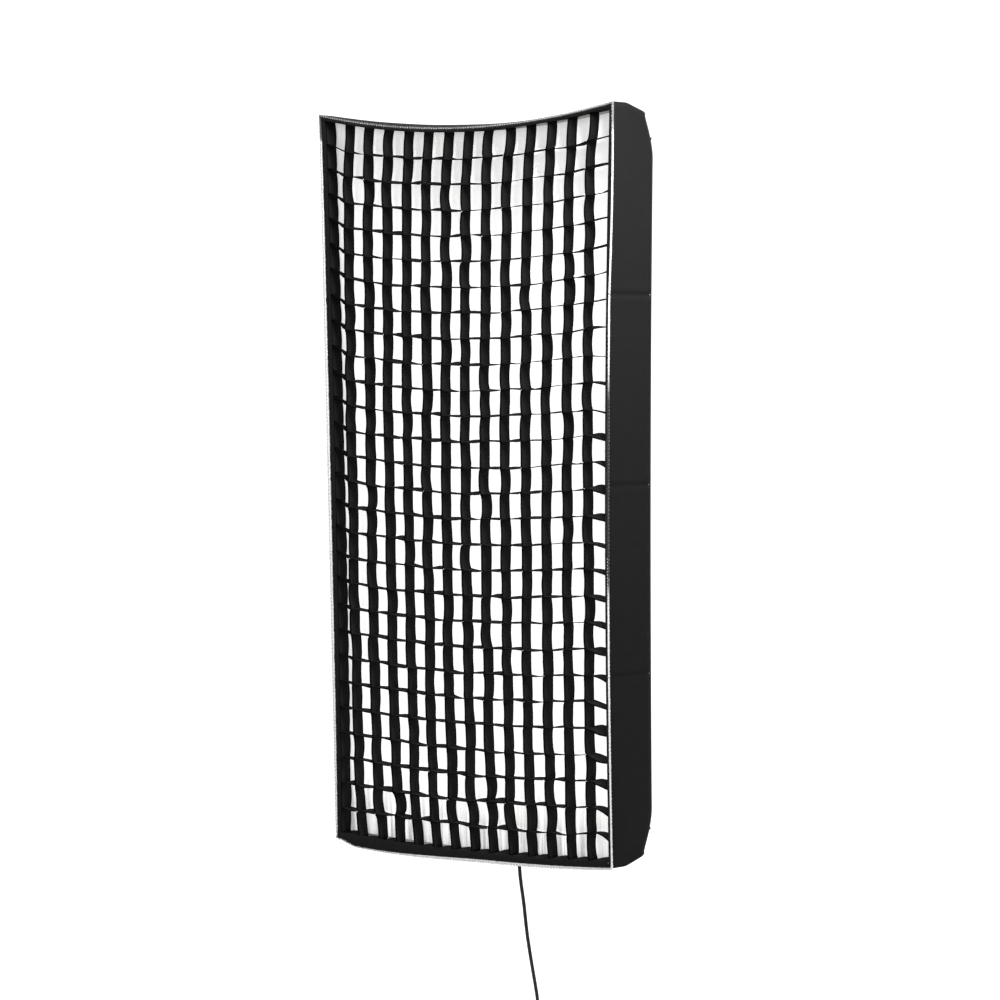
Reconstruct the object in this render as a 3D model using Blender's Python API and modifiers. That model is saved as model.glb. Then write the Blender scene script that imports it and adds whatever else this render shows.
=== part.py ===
"""A strip softbox: a fabric skirt with stiffeners, a diffuser and an egg-crate grid on a flexible
LED mat, carried by an X-bracket on a tilt head that sits on a 16 mm stand spigot.

Metres, +Z up. The origin is the middle of the spigot socket's mouth. The softbox faces -Y.
"""

import math

import bmesh
import bpy
from mathutils import Matrix, Vector

# The fabric box
FACE_WIDTH = 0.600
FACE_HEIGHT = 1.200
DEPTH = 0.105
FACE_Y = -0.385
AXIS_Z = 0.085  # the tilt axis, and the middle of the face
GAP = 0.0003  # between solids that touch

# How the fabric hangs
FRONT_SAG, FRONT_SAG_RISE = 0.0192, 0.0110
REAR_SAG, REAR_SAG_RISE = 0.0090, 0.0050
SIDE_BOW, BOW_FADE = 0.0084, 0.5  # outward at the front, and the share lost at the rear
TWIST = 0.0400
CORNER_START, CORNER_END = 0.86, 0.985
CORNER_TUCK, CORNER_DROP = 0.0220, 0.0120
TUCK_FROM = 0.0360  # the rear corners are drawn in from this depth backwards

# Layers of the skirt's wall, from outside to inside
SHELL, BOARD, LINING = 0.0010, 0.0016, 0.0008
LAYER_GAP = 0.0005
WALL = SHELL + BOARD + LINING + 2 * LAYER_GAP
BINDING_Y = 0.0032
WALL_FRONT = BINDING_Y + GAP
HEM_WIDTH, HEM_CLEARANCE = 0.0250, 0.0009
FOLD_MARGIN = 0.0030
BOARD_DEPTH = (0.0080, 0.0960)

# Diffuser and grid
DIFFUSER_AT = 0.0315
DIFFUSER = 0.0008
DIFFUSER_ROOM = (0.0035, 0.0062)  # it passes the bowed and sagging front edges as it comes out
CELLS_ACROSS, CELLS_UP = 7, 14  # of double pitch: every second strip of the real grid
GRID_EDGE = 0.0095  # from the face's outside to the grid's border strip
GRID_FRONT, GRID_DEPTH = 0.0014, 0.0280
STRIP, BORDER = 0.0012, 0.0024

# Light mat
MAT_INSET = 0.0020
MAT, BACKING = 0.0030, 0.0012
BACK = DEPTH + GAP + MAT + GAP + BACKING
POCKET_AT = Vector((0.262, 0.552))

# Tilt head
SOCKET_R, SOCKET_DEPTH = 0.00815, 0.046
BARREL_R, BARREL_TOP = 0.0170, 0.0580
EAR_INNER, EAR_OUTER = 0.0125, 0.0205
BOLT_R = 0.0040
RUN = 0.0003  # running clearance in the head
LUG_HALF = 0.0105
SHAFT_R = 0.0080
BEARING = (-0.100, -0.036)
HUB = (-0.172, -0.142)
HUB_R = 0.034

# X-bracket arms
ARM_SLOPE = 0.20  # an arm rises this much from the mat for each metre towards the hub
ARM_ROOT, TUBE_END, ROD_START = 0.0245, 0.340, 0.300
TUBE_R, TUBE_BORE, ROD_R, TIP_R, TIP_LENGTH = 0.0050, 0.0039, 0.0035, 0.0055, 0.030

# Lead
LEAD_R = 0.0030
COIL_R = 0.0340
COIL_HALF = 0.0063
COIL_CENTRE = Vector((0.010, -0.1850, -0.8500))
TIE_ANGLE, CONNECTOR_ANGLE = 60, 205  # degrees round the coil, from +Y
BOX_Z = AXIS_Z - 0.200
BOX_STANDS = (0.0042, 0.0272)  # the junction box's front and back, behind the mat
RELIEF_LENGTH = 0.034

for old in list(bpy.data.objects):
    bpy.data.objects.remove(old, do_unlink=True)
parts = bpy.data.collections.new("strip_softbox")
cutters = bpy.data.collections.new("cutters")
bpy.context.scene.collection.children.link(parts)
bpy.context.scene.collection.children.link(cutters)
cutters.hide_render = True


# Materials and bodies


def finish(name, colour, roughness, metallic=0.0):
    material = bpy.data.materials.new(name)
    material.use_nodes = True
    shader = material.node_tree.nodes["Principled BSDF"]
    shader.inputs["Base Color"].default_value = (*colour, 1)
    shader.inputs["Roughness"].default_value = roughness
    shader.inputs["Metallic"].default_value = metallic
    return material


BLACK_FABRIC = finish("black_fabric", (0.018, 0.018, 0.019), 0.85)
WHITE_FABRIC = finish("white_fabric", (0.88, 0.88, 0.87), 0.80)
SILVER_LINING = finish("silver_lining", (0.62, 0.62, 0.63), 0.45, 0.6)
BOARD_GREY = finish("stiffener_board", (0.12, 0.12, 0.12), 0.75)
LED_WHITE = finish("led_mat_face", (0.80, 0.80, 0.76), 0.55)
BLACK_METAL = finish("black_metal", (0.020, 0.020, 0.022), 0.42, 0.3)
STEEL = finish("steel", (0.55, 0.56, 0.57), 0.30, 1.0)
BLACK_PLASTIC = finish("black_plastic", (0.025, 0.025, 0.026), 0.50)
NYLON = finish("nylon", (0.75, 0.74, 0.70), 0.45)
BINDING = finish("rim_binding", (0.62, 0.62, 0.62), 0.80)
RUBBER = finish("lead_rubber", (0.020, 0.020, 0.020), 0.65)

joints = {}


def joint(name, at, parent=None):
    """An empty on a joint's axis, which carries the pieces that turn or slide there."""
    empty = bpy.data.objects.new(name, None)
    empty.empty_display_size = 0.03
    empty.location = at
    parts.objects.link(empty)
    joints[name] = (empty, Vector(at))
    if parent:
        hang(empty, parent)
    return empty


def hang(obj, name):
    """Parents an object to a joint's empty and leaves it where it is."""
    empty, at = joints[name]
    obj.parent = empty
    obj.matrix_parent_inverse = Matrix.Translation(-at)


joint("stand_mount", (0, 0, 0))
joint("clamp_axis", (0, 0.030, 0.023), "stand_mount")
joint("tilt_axis", (0, 0, AXIS_Z), "stand_mount")
joint("lever_axis", (0.030, 0, AXIS_Z), "stand_mount")
joint("rotation_axis", (0, -0.120, AXIS_Z), "tilt_axis")
joint("rotation_knob_axis", (0, -0.070, AXIS_Z + 0.030), "tilt_axis")
joint("skirt_slide", (0, FACE_Y + DEPTH, AXIS_Z), "rotation_axis")
joint("diffuser_slide", (0, FACE_Y + DIFFUSER_AT, AXIS_Z), "skirt_slide")
joint("grid_slide", (0, FACE_Y, AXIS_Z), "diffuser_slide")


# Basic shapes


def add(name, mesh, carrier, material):
    """A part of the object, or a helper shape where carrier is None."""
    obj = bpy.data.objects.new(name, mesh)
    (parts if carrier else cutters).objects.link(obj)
    if carrier:
        hang(obj, carrier)
        mesh.materials.clear()
        mesh.materials.append(material)
    else:
        obj.hide_render = True
        obj.display_type = "WIRE"
    return obj


def mesh_of(bm, name):
    mesh = bpy.data.meshes.new(name)
    bm.to_mesh(mesh)
    bm.free()
    return mesh


def along(start, direction):
    """The matrix that puts local Z along a direction, from a start point."""
    return Matrix.Translation(start) @ Vector(direction).to_track_quat("Z", "Y").to_matrix().to_4x4()


def box(name, low, high, carrier=None, material=None, bevel=0.0):
    low, high = Vector(low), Vector(high)
    bm = bmesh.new()
    bmesh.ops.create_cube(bm, size=1)
    bmesh.ops.scale(bm, vec=high - low, verts=bm.verts)
    bmesh.ops.translate(bm, vec=(low + high) / 2, verts=bm.verts)
    obj = add(name, mesh_of(bm, name), carrier, material)
    if bevel:
        edge = obj.modifiers.new("rounded edges", "BEVEL")
        edge.width = bevel
        edge.segments = 2
    return obj


def rod(name, radius, start, end, carrier=None, material=None, sides=16, end_radius=None):
    start, end = Vector(start), Vector(end)
    bm = bmesh.new()
    bmesh.ops.create_cone(
        bm,
        cap_ends=True,
        segments=sides,
        radius1=radius,
        radius2=radius if end_radius is None else end_radius,
        depth=(end - start).length,
    )
    bmesh.ops.transform(bm, matrix=along((start + end) / 2, end - start), verts=bm.verts)
    return add(name, mesh_of(bm, name), carrier, material)


def turned(name, outline, start, direction, carrier=None, material=None, sides=20):
    """Turns an outline of (radius, height) points, from the top down its outer side. An outline that
    ends off the axis is closed on itself, which makes a ring."""
    mesh = bpy.data.meshes.new(name)
    points = [(radius, 0, height) for radius, height in outline]
    edges = [(i, i + 1) for i in range(len(points) - 1)]
    if outline[0][0] > 0:
        edges.append((len(points) - 1, 0))
    mesh.from_pydata(points, edges, [])
    obj = add(name, mesh, carrier, material)
    obj.matrix_basis = along(start, direction)
    screw = obj.modifiers.new("turn", "SCREW")
    screw.steps = screw.render_steps = sides
    screw.use_merge_vertices = True
    screw.merge_threshold = 0.00001
    screw.use_smooth_shade = False
    return obj


def ring(name, outer, inner, half, centre, direction, carrier, material, sides=20):
    outline = [(outer, half), (outer, -half), (inner, -half), (inner, half)]
    return turned(name, outline, centre, direction, carrier, material, sides)


def ear_plate(name, low, high, reach, radius, carrier=None, material=None):
    """A plate across X from low to high, round about the tilt axis and straight out to reach."""
    root, end = Vector((0, 0, AXIS_Z)), Vector(reach)
    way = (end - root).normalized()
    side = Vector((0, -way.z, way.y)) * radius
    turn = [math.pi * i / 16 for i in range(17)]
    outline = [root + side * math.cos(t) - way * radius * math.sin(t) for t in turn]
    outline += [end - side, end + side]
    bm = bmesh.new()
    face = bm.faces.new([bm.verts.new((low, point.y, point.z)) for point in outline])
    grown = bmesh.ops.extrude_face_region(bm, geom=[face])["geom"]
    moved = [item for item in grown if isinstance(item, bmesh.types.BMVert)]
    bmesh.ops.translate(bm, vec=(high - low, 0, 0), verts=moved)
    bmesh.ops.recalc_face_normals(bm, faces=bm.faces)
    return add(name, mesh_of(bm, name), carrier, material)


def combine(obj, other, operation):
    boolean = obj.modifiers.new(f"{operation.lower()} {other.name}", "BOOLEAN")
    boolean.operation = operation
    boolean.object = other
    return obj


def join(obj, *others):
    for other in others:
        combine(obj, other, "UNION")


def cut(obj, *others):
    for other in others:
        combine(obj, other, "DIFFERENCE")


# Sheets of the box


def settle(point):
    """Where a point of the flat, square box goes once it hangs. x and z count from the middle of the
    face and y from its front."""
    x, y, z = point
    u, v = x / (FACE_WIDTH / 2), z / (FACE_HEIGHT / 2)
    back = min(max((y - WALL_FRONT) / (DEPTH - WALL_FRONT), 0), 1)
    sag = (1 - back) * (FRONT_SAG + FRONT_SAG_RISE * v) + back * (REAR_SAG + REAR_SAG_RISE * v)
    bow = SIDE_BOW * (1 + u) / 2 * (1 - v * v) * (1 - BOW_FADE * back)
    end = min(max(0, (abs(v) - CORNER_START) / (CORNER_END - CORNER_START)), 1)
    tucked = end * min(max((y - TUCK_FROM) / (DEPTH - TUCK_FROM), 0), 1)
    twist = TWIST * (1 - u) / 2 * (1 - v) / 2
    return Vector(
        (
            x - bow,
            FACE_Y + y + twist - CORNER_TUCK * end**0.6 * tucked,
            AXIS_Z + z - sag * (1 - u * u) - math.copysign(CORNER_DROP * tucked, v),
        )
    )


def lines(low, high, count):
    return [low + (high - low) * i / count for i in range(count + 1)]


def sheet(name, first, second, place, thickness, carrier, material, holes=None):
    """A sheet over the lines in first and second, at place(a, b) and half its thickness either side.
    holes(i, j) says which of its squares are left open."""
    bm = bmesh.new()
    across, up = len(first) - 1, len(second) - 1
    bmesh.ops.create_grid(bm, x_segments=across, y_segments=up, size=1)
    if holes:
        open_faces = []
        for face in bm.faces:
            middle = face.calc_center_median()
            i, j = int((middle.x + 1) / 2 * across), int((middle.y + 1) / 2 * up)
            if holes(i, j):
                open_faces.append(face)
        bmesh.ops.delete(bm, geom=open_faces, context="FACES")
    for vertex in bm.verts:
        a = first[round((vertex.co.x + 1) / 2 * across)]
        b = second[round((vertex.co.y + 1) / 2 * up)]
        vertex.co = settle(place(a, b))
    bmesh.ops.triangulate(bm, faces=bm.faces, quad_method="FIXED")
    obj = add(name, mesh_of(bm, name), carrier, material)
    skin = obj.modifiers.new("thickness", "SOLIDIFY")
    skin.thickness = thickness
    skin.offset = 0
    return obj


HALF_W, HALF_H = FACE_WIDTH / 2, FACE_HEIGHT / 2
UPRIGHT_LINES = [
    HALF_H * v
    for v in (-1, -0.985, -0.955, -0.91, -0.86, -0.75, -0.625, -0.5, -0.375, -0.25, -0.125, 0)
]
UPRIGHT_LINES += [-z for z in reversed(UPRIGHT_LINES[:-1])]
LEVEL_LINES = lines(-(HALF_W - WALL - GAP), HALF_W - WALL - GAP, 12)
SPARSE_LINES = [z for z in UPRIGHT_LINES if abs(z) > 0.85 * HALF_H or z in (-HALF_H / 2, 0, HALF_H / 2)]
WALL_LINES = [WALL_FRONT, TUCK_FROM, DEPTH]


def side_layer(name, side, inset, thickness, uprights, depths, material):
    middle = HALF_W - inset - thickness / 2
    sheet(name, uprights, depths, lambda z, y: (side * middle, y, z), thickness, "skirt_slide", material)


def end_layer(name, end, inset, thickness, levels, depths, material):
    middle = HALF_H - inset - thickness / 2
    sheet(name, levels, depths, lambda x, y: (x, y, end * middle), thickness, "skirt_slide", material)


def between(values, low, high):
    return [low, *[value for value in values if low < value < high], high]


def skirt():
    board_lines = [BOARD_DEPTH[0], TUCK_FROM, BOARD_DEPTH[1]]
    folds = lines(-HALF_H, HALF_H, 4)
    for side, word in ((-1, "left"), (1, "right")):
        side_layer(f"skirt_{word}_panel", side, 0, SHELL, UPRIGHT_LINES, WALL_LINES, BLACK_FABRIC)
        inset = SHELL + BOARD + 2 * LAYER_GAP
        side_layer(f"{word}_lining", side, inset, LINING, UPRIGHT_LINES, WALL_LINES, SILVER_LINING)
        for i in range(4):
            uprights = between(UPRIGHT_LINES, folds[i] + FOLD_MARGIN, folds[i + 1] - FOLD_MARGIN)
            name = f"{word}_stiffener_{i + 1}"
            side_layer(name, side, SHELL + LAYER_GAP, BOARD, uprights, board_lines, BOARD_GREY)
    levels = between(LEVEL_LINES, LEVEL_LINES[0] + FOLD_MARGIN, LEVEL_LINES[-1] - FOLD_MARGIN)
    for end, word in ((-1, "bottom"), (1, "top")):
        end_layer(f"skirt_{word}_panel", end, 0, SHELL, LEVEL_LINES, WALL_LINES, BLACK_FABRIC)
        inset = SHELL + BOARD + 2 * LAYER_GAP
        end_layer(f"{word}_lining", end, inset, LINING, LEVEL_LINES, WALL_LINES, SILVER_LINING)
        end_layer(f"{word}_stiffener", end, SHELL + LAYER_GAP, BOARD, levels, board_lines, BOARD_GREY)


def frame_sheet(name, outside, width, y, thickness, carrier, material):
    """A flat ring round the box: outside is its inset from the face's outline, width its own."""
    half_w, half_h = HALF_W - outside, HALF_H - outside
    inner_w, inner_h = half_w - width, half_h - width
    levels = [-half_w, *lines(-inner_w, inner_w, 10), half_w]
    edges = {-half_h, -inner_h, inner_h, half_h}
    uprights = sorted(edges | {z for z in UPRIGHT_LINES if abs(z) < half_h})

    def inside(i, j):
        across, up = levels[i] + levels[i + 1], uprights[j] + uprights[j + 1]
        return abs(across) < 2 * inner_w and abs(up) < 2 * inner_h

    sheet(name, levels, uprights, lambda x, z: (x, y, z), thickness, carrier, material, inside)


def rims():
    frame_sheet("rim_binding", 0, WALL, BINDING_Y / 2, BINDING_Y, "skirt_slide", BINDING)
    y = DEPTH - 0.0020
    frame_sheet("rear_hem", WALL + HEM_CLEARANCE, HEM_WIDTH, y, 0.0014, "skirt_slide", BLACK_FABRIC)


def diffuser():
    half_w, half_h = (half - WALL - room for half, room in zip((HALF_W, HALF_H), DIFFUSER_ROOM))
    levels, uprights = lines(-half_w, half_w, 10), between(SPARSE_LINES, -half_h, half_h)
    sheet(
        "diffuser",
        levels,
        uprights,
        lambda x, z: (x, DIFFUSER_AT, z),
        DIFFUSER,
        "diffuser_slide",
        WHITE_FABRIC,
    )


def strip_lines(half, cells):
    """Both sides of every strip, border strips included, and the cells' open squares lie between."""
    found = [-half, -half + BORDER]
    pitch = 2 * (half - BORDER / 2) / cells
    for i in range(1, cells):
        middle = -(half - BORDER / 2) + i * pitch
        found += [middle - STRIP / 2, middle + STRIP / 2]
    return found + [half - BORDER, half]


def grid():
    levels = strip_lines(HALF_W - GRID_EDGE, CELLS_ACROSS)
    uprights = strip_lines(HALF_H - GRID_EDGE, CELLS_UP)
    sheet(
        "egg_crate_grid",
        levels,
        uprights,
        lambda x, z: (x, GRID_FRONT + GRID_DEPTH / 2, z),
        GRID_DEPTH,
        "grid_slide",
        BLACK_FABRIC,
        lambda i, j: i % 2 == 1 and j % 2 == 1,
    )


# Light mat, its pockets and its junction box


def mat():
    half_w, half_h = HALF_W - MAT_INSET, HALF_H - MAT_INSET
    levels, uprights = lines(-half_w, half_w, 10), between(SPARSE_LINES, -half_h, half_h)
    front = DEPTH + GAP + MAT / 2
    back = BACK - BACKING / 2
    for name, y, thickness, material in (
        ("led_mat", front, MAT, LED_WHITE),
        ("mat_back_cover", back, BACKING, BLACK_FABRIC),
    ):
        sheet(name, levels, uprights, lambda x, z: (x, y, z), thickness, "rotation_axis", material)


def arm_tip(side, end):
    """The outer end of an arm, just behind the mat near its corner."""
    return settle((side * POCKET_AT.x, BACK + 0.0100, end * POCKET_AT.y))


def arm_line(side, end):
    start = Vector((0, (HUB[0] + HUB[1]) / 2, AXIS_Z))
    tip = arm_tip(side, end)
    return start, (tip - start).normalized(), (tip - start).length


def pocket(name, side, end):
    """A fabric pocket over an arm's tip: an arch that closes towards the corner."""
    length, half, rise = 0.078, 0.034, 0.0170
    toward = Vector((side * POCKET_AT.x, end * POCKET_AT.y)).normalized()
    sideways = Vector((-toward.y, toward.x))

    def place(a, b):
        flat = Vector((side * POCKET_AT.x, end * POCKET_AT.y)) + toward * (a - 0.060) + sideways * b
        open_end = min(1, (length - a) / 0.020)
        arch = math.cos(min(abs(b) / (half * 0.62), 1) * math.pi / 2) ** 0.8
        height = rise + ARM_SLOPE * max(0, 0.060 - a)
        return (flat.x, BACK + 0.0013 + height * arch * open_end, flat.y)

    along_arm = lines(0, length, 4)
    across = [half * t for t in (-1, -0.62, -0.5, -0.3, 0, 0.3, 0.5, 0.62, 1)]
    sheet(name, along_arm, across, place, 0.0010, "rotation_axis", BLACK_FABRIC)


def junction():
    seat = settle((0, BACK, BOX_Z - AXIS_Z))
    low = Vector((-0.052, seat.y + BOX_STANDS[0], seat.z - 0.032))
    high = Vector((0.052, seat.y + BOX_STANDS[1], seat.z + 0.032))
    wall = Vector((0.0022, 0, 0.0022))
    body = box("junction_box", low, high, "rotation_axis", BLACK_PLASTIC, 0.003)
    room_low = low + wall + Vector((0, 0.0022, 0))
    room_high = high - wall + Vector((0, 0.010, 0))
    cut(body, box("junction_room", room_low, room_high))
    mouth = Vector((0, (low.y + high.y) / 2, low.z))
    cut(body, rod("relief_hole", 0.0058, mouth - Vector((0, 0, 0.01)), mouth + Vector((0, 0, 0.01))))
    lid_low = Vector((low.x, high.y + GAP, low.z))
    lid_high = Vector((high.x, high.y + 0.0028, high.z))
    box("junction_lid", lid_low, lid_high, "rotation_axis", BLACK_PLASTIC, 0.001)
    board_low = Vector((low.x + 0.010, low.y + 0.0060, low.z + 0.016))
    board_high = Vector((high.x - 0.010, low.y + 0.0076, high.z - 0.008))
    board = finish("circuit_board", (0.02, 0.16, 0.07), 0.45)
    box("junction_board", board_low, board_high, "rotation_axis", board)
    strain_relief(mouth)


def strain_relief(mouth):
    """A tapered sleeve: a collar inside the box, a neck in its hole and a ribbed tail below."""
    outline = [
        (0.0000, 0.0070),
        (0.0075, 0.0070),
        (0.0075, 0.0026),
        (0.0054, 0.0026),
        (0.0054, -0.0003),
        (0.0075, -0.0003),
        (0.0070, -0.0060),
        (0.0044, -RELIEF_LENGTH),
        (0.0000, -RELIEF_LENGTH),
    ]
    turned("strain_relief", outline, mouth, (0, 0, 1), "rotation_axis", RUBBER, 16)


# Lead, coil and connector


def spline_points(knots, step):
    """Points a step apart on the smooth curve through the knots (Catmull-Rom, ends repeated)."""
    knots = [Vector(k) for k in knots]
    knots = [2 * knots[0] - knots[1], *knots, 2 * knots[-1] - knots[-2]]
    fine = []
    for p0, p1, p2, p3 in zip(knots, knots[1:], knots[2:], knots[3:]):
        for i in range(40):
            t = i / 40
            fine.append(
                0.5
                * (
                    2 * p1
                    + (p2 - p0) * t
                    + (2 * p0 - 5 * p1 + 4 * p2 - p3) * t * t
                    + (3 * p1 - p0 - 3 * p2 + p3) * t**3
                )
            )
    fine.append(knots[-2])
    lengths = [0.0]
    for a, b in zip(fine, fine[1:]):
        lengths.append(lengths[-1] + (b - a).length)
    count = max(2, round(lengths[-1] / step))
    points, k = [], 0
    for i in range(count + 1):
        want = lengths[-1] * i / count
        while k < len(lengths) - 2 and lengths[k + 1] < want:
            k += 1
        share = (want - lengths[k]) / (lengths[k + 1] - lengths[k])
        points.append(fine[k].lerp(fine[k + 1], share))
    return points


def lead():
    seat = settle((0, BACK, BOX_Z - AXIS_Z))
    exit_y = seat.y + sum(BOX_STANDS) / 2
    exit_z = seat.z - 0.032 - RELIEF_LENGTH - GAP
    route = [
        (0.0000, exit_y, exit_z),
        (0.0000, exit_y, exit_z - 0.030),
        (0.0020, -0.2450, -0.320),
        (0.0070, -0.2460, -0.440),
        (0.0100, -0.2458, -0.548),
        (0.0100, -0.2336, -0.612),
        (0.0100, -0.2255, -0.659),
        (0.0100, -0.2163, -0.698),
        (0.0100, -0.2076, -0.731),
        (0.0100, -0.1985, -0.765),
        (0.0100, -0.1955, -0.785),
        (0.0100, -0.2000, -0.800),
    ]
    curve = bpy.data.curves.new("lead_run", "CURVE")
    curve.dimensions = "3D"
    curve.bevel_depth = LEAD_R
    curve.bevel_resolution = 2
    curve.use_fill_caps = True
    points = spline_points(route, 0.016)
    spline = curve.splines.new("POLY")
    spline.points.add(len(points) - 1)
    for point, place in zip(spline.points, points):
        point.co = (*place, 1)
    curve.materials.append(RUBBER)
    obj = bpy.data.objects.new("lead_run", curve)
    parts.objects.link(obj)
    hang(obj, "rotation_axis")


def coil():
    ring(
        "lead_coil",
        COIL_R + COIL_HALF,
        COIL_R - COIL_HALF,
        COIL_HALF,
        COIL_CENTRE,
        (1, 0, 0),
        "rotation_axis",
        RUBBER,
        28,
    )
    angle = math.radians(TIE_ANGLE)
    at = COIL_CENTRE + COIL_R * Vector((0, math.cos(angle), math.sin(angle)))
    around = Vector((0, -math.sin(angle), math.cos(angle)))
    ring("lead_tie", 0.0110, 0.0100, 0.0060, at, around, "rotation_axis", BLACK_FABRIC, 20)


def connector():
    """A barrel with a blind socket, and the ring that locks it, hanging from the coil's outer side."""
    angle = math.radians(CONNECTOR_ANGLE)
    outward = Vector((0, math.cos(angle), math.sin(angle)))
    around = Vector((0, -math.sin(angle), math.cos(angle)))
    top = COIL_CENTRE + (COIL_R + COIL_HALF + 0.0050) * outward
    down = (0.8 * around + 0.6 * outward).normalized()
    outline = [
        (0.0000, 0.0520),
        (0.0030, 0.0520),
        (0.0030, 0.0400),
        (0.0058, 0.0400),
        (0.0058, 0.0520),
        (0.0066, 0.0520),
        (0.0066, 0.0280),
        (0.0084, 0.0280),
        (0.0084, 0.0120),
        (0.0042, 0.0000),
        (0.0000, 0.0000),
    ]
    turned("connector_body", outline, top, down, "rotation_axis", BLACK_METAL, 20)
    centre = top + 0.0380 * down
    joint("connector_axis", centre, "rotation_axis")
    ring("connector_ring", 0.0092, 0.0069, 0.0090, centre, down, "connector_axis", STEEL, 20)


# X-bracket


def hub():
    middle = (HUB[0] + HUB[1]) / 2
    front, rear = (0, HUB[0], AXIS_Z), (0, HUB[1], AXIS_Z)
    body = rod("hub_casting", HUB_R, rear, front, "rotation_axis", BLACK_METAL, 28)
    for side in (-1, 1):
        for end in (-1, 1):
            start, way, _ = arm_line(side, end)
            word = f"{side}_{end}"
            join(body, rod(f"hub_socket{word}", 0.0088, start + 0.010 * way, start + 0.060 * way))
    for side in (-1, 1):
        for end in (-1, 1):
            start, way, _ = arm_line(side, end)
            word = f"{side}_{end}"
            cut(body, rod(f"hub_bore{word}", TUBE_R + GAP, start + 0.024 * way, start + 0.090 * way))
    cut(body, rod("hub_eye", SHAFT_R + GAP, (0, middle, AXIS_Z), (0, HUB[1] + 0.010, AXIS_Z)))
    cap = [(0.0, 0.0055), (0.0180, 0.0050), (0.0250, 0.0030), (0.0260, 0.0003), (0.0, 0.0003)]
    turned("hub_cap", cap, front, (0, -1, 0), "rotation_axis", BLACK_PLASTIC, 28)


def arms():
    for side, level in ((-1, "left"), (1, "right")):
        for end, height in ((-1, "lower"), (1, "upper")):
            start, way, length = arm_line(side, end)
            word = f"{height}_{level}"
            tube = [
                (TUBE_R, TUBE_END),
                (TUBE_R, ARM_ROOT),
                (TUBE_BORE, ARM_ROOT),
                (TUBE_BORE, TUBE_END),
            ]
            turned(f"arm_tube_{word}", tube, start, way, "rotation_axis", BLACK_METAL, 16)
            rod(
                f"arm_rod_{word}",
                ROD_R,
                start + ROD_START * way,
                start + (length - 0.0045) * way,
                "rotation_axis",
                STEEL,
                16,
            )
            cap = [
                (0.0000, length),
                (0.0035, length - 0.0006),
                (TIP_R, length - 0.0040),
                (TIP_R, length - TIP_LENGTH),
                (ROD_R + GAP, length - TIP_LENGTH),
                (ROD_R + GAP, length - 0.0040),
                (0.0000, length - 0.0040),
            ]
            turned(f"arm_tip_{word}", cap, start, way, "rotation_axis", BLACK_PLASTIC, 16)
            pocket(f"pocket_{word}", side, end)


# Tilt head


def star(name, radius, start, end, lobes, carrier=None, material=None):
    """A hand knob: a drum whose side swells into lobes."""
    obj = rod(name, radius, start, end, carrier, material, 8 * lobes)
    axis = (Vector(end) - Vector(start)).normalized()
    frame = along(start, axis)
    for vertex in obj.data.vertices:
        local = frame.inverted() @ vertex.co
        swell = 1 + 0.10 * math.cos(lobes * math.atan2(local.y, local.x))
        vertex.co = frame @ Vector((local.x * swell, local.y * swell, local.z))
    return obj


def receiver():
    body = rod("receiver", BARREL_R, (0, 0, 0), (0, 0, BARREL_TOP), "stand_mount", BLACK_METAL, 28)
    join(body, box("yoke_base", (-EAR_OUTER, -0.0155, 0.050), (EAR_OUTER, 0.0155, 0.0615)))
    for side in (-1, 1):
        low, high = sorted((side * EAR_INNER, side * (EAR_OUTER - 0.0004)))
        join(body, ear_plate(f"ear{side}", low, high, (0, 0, 0.055), 0.0150))
    join(body, rod("clamp_boss", 0.0095, (0, 0.010, 0.023), (0, 0.0255, 0.023)))
    cut(body, rod("socket", SOCKET_R, (0, 0, -0.01), (0, 0, SOCKET_DEPTH), sides=28))
    cut(body, rod("clamp_thread", 0.0043, (0, 0.004, 0.023), (0, 0.040, 0.023)))
    cut(body, rod("bolt_hole", BOLT_R + RUN, (-0.04, 0, AXIS_Z), (0.04, 0, AXIS_Z)))


def clamp_knob():
    start, end = (0, 0.0300, 0.023), (0, 0.0460, 0.023)
    knob = star("spigot_clamp_knob", 0.0150, start, end, 5, "clamp_axis", BLACK_PLASTIC)
    join(knob, rod("clamp_stem", 0.0040, (0, 0.0090, 0.023), (0, 0.0320, 0.023), sides=16))
    join(knob, rod("clamp_neck", 0.0070, (0, 0.0262, 0.023), (0, 0.0320, 0.023), sides=16))


def tilt_bolt():
    bolt = rod("tilt_bolt", BOLT_R, (-0.0230, 0, AXIS_Z), (0.0400, 0, AXIS_Z), "stand_mount", STEEL, 20)
    join(bolt, rod("bolt_head", 0.0078, (-0.0265, 0, AXIS_Z), (-EAR_OUTER - GAP, 0, AXIS_Z), sides=6))
    for side, word in ((-1, "left"), (1, "right")):
        centre = (side * (EAR_INNER + LUG_HALF) / 2, 0, AXIS_Z)
        half = (EAR_INNER - LUG_HALF) / 2 - GAP
        ring(f"friction_washer_{word}", 0.0120, 0.0045, half, centre, (1, 0, 0), "stand_mount", NYLON)


def tilt_lever():
    hub_ring = [(0.0105, 0.0190), (0.0120, 0.0), (0.0045, 0.0), (0.0045, 0.0190)]
    start = (EAR_OUTER + GAP, 0, AXIS_Z)
    lever = turned("tilt_lock_lever", hub_ring, start, (1, 0, 0), "lever_axis", BLACK_PLASTIC)
    way = Vector((0.10, 0.72, -0.68)).normalized()
    root = Vector((0.0315, 0, AXIS_Z)) + 0.0085 * way
    end = Vector((0.0315, 0, AXIS_Z)) + 0.0720 * way
    join(lever, rod("lever_grip", 0.0052, root, end, sides=16, end_radius=0.0068))


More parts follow.
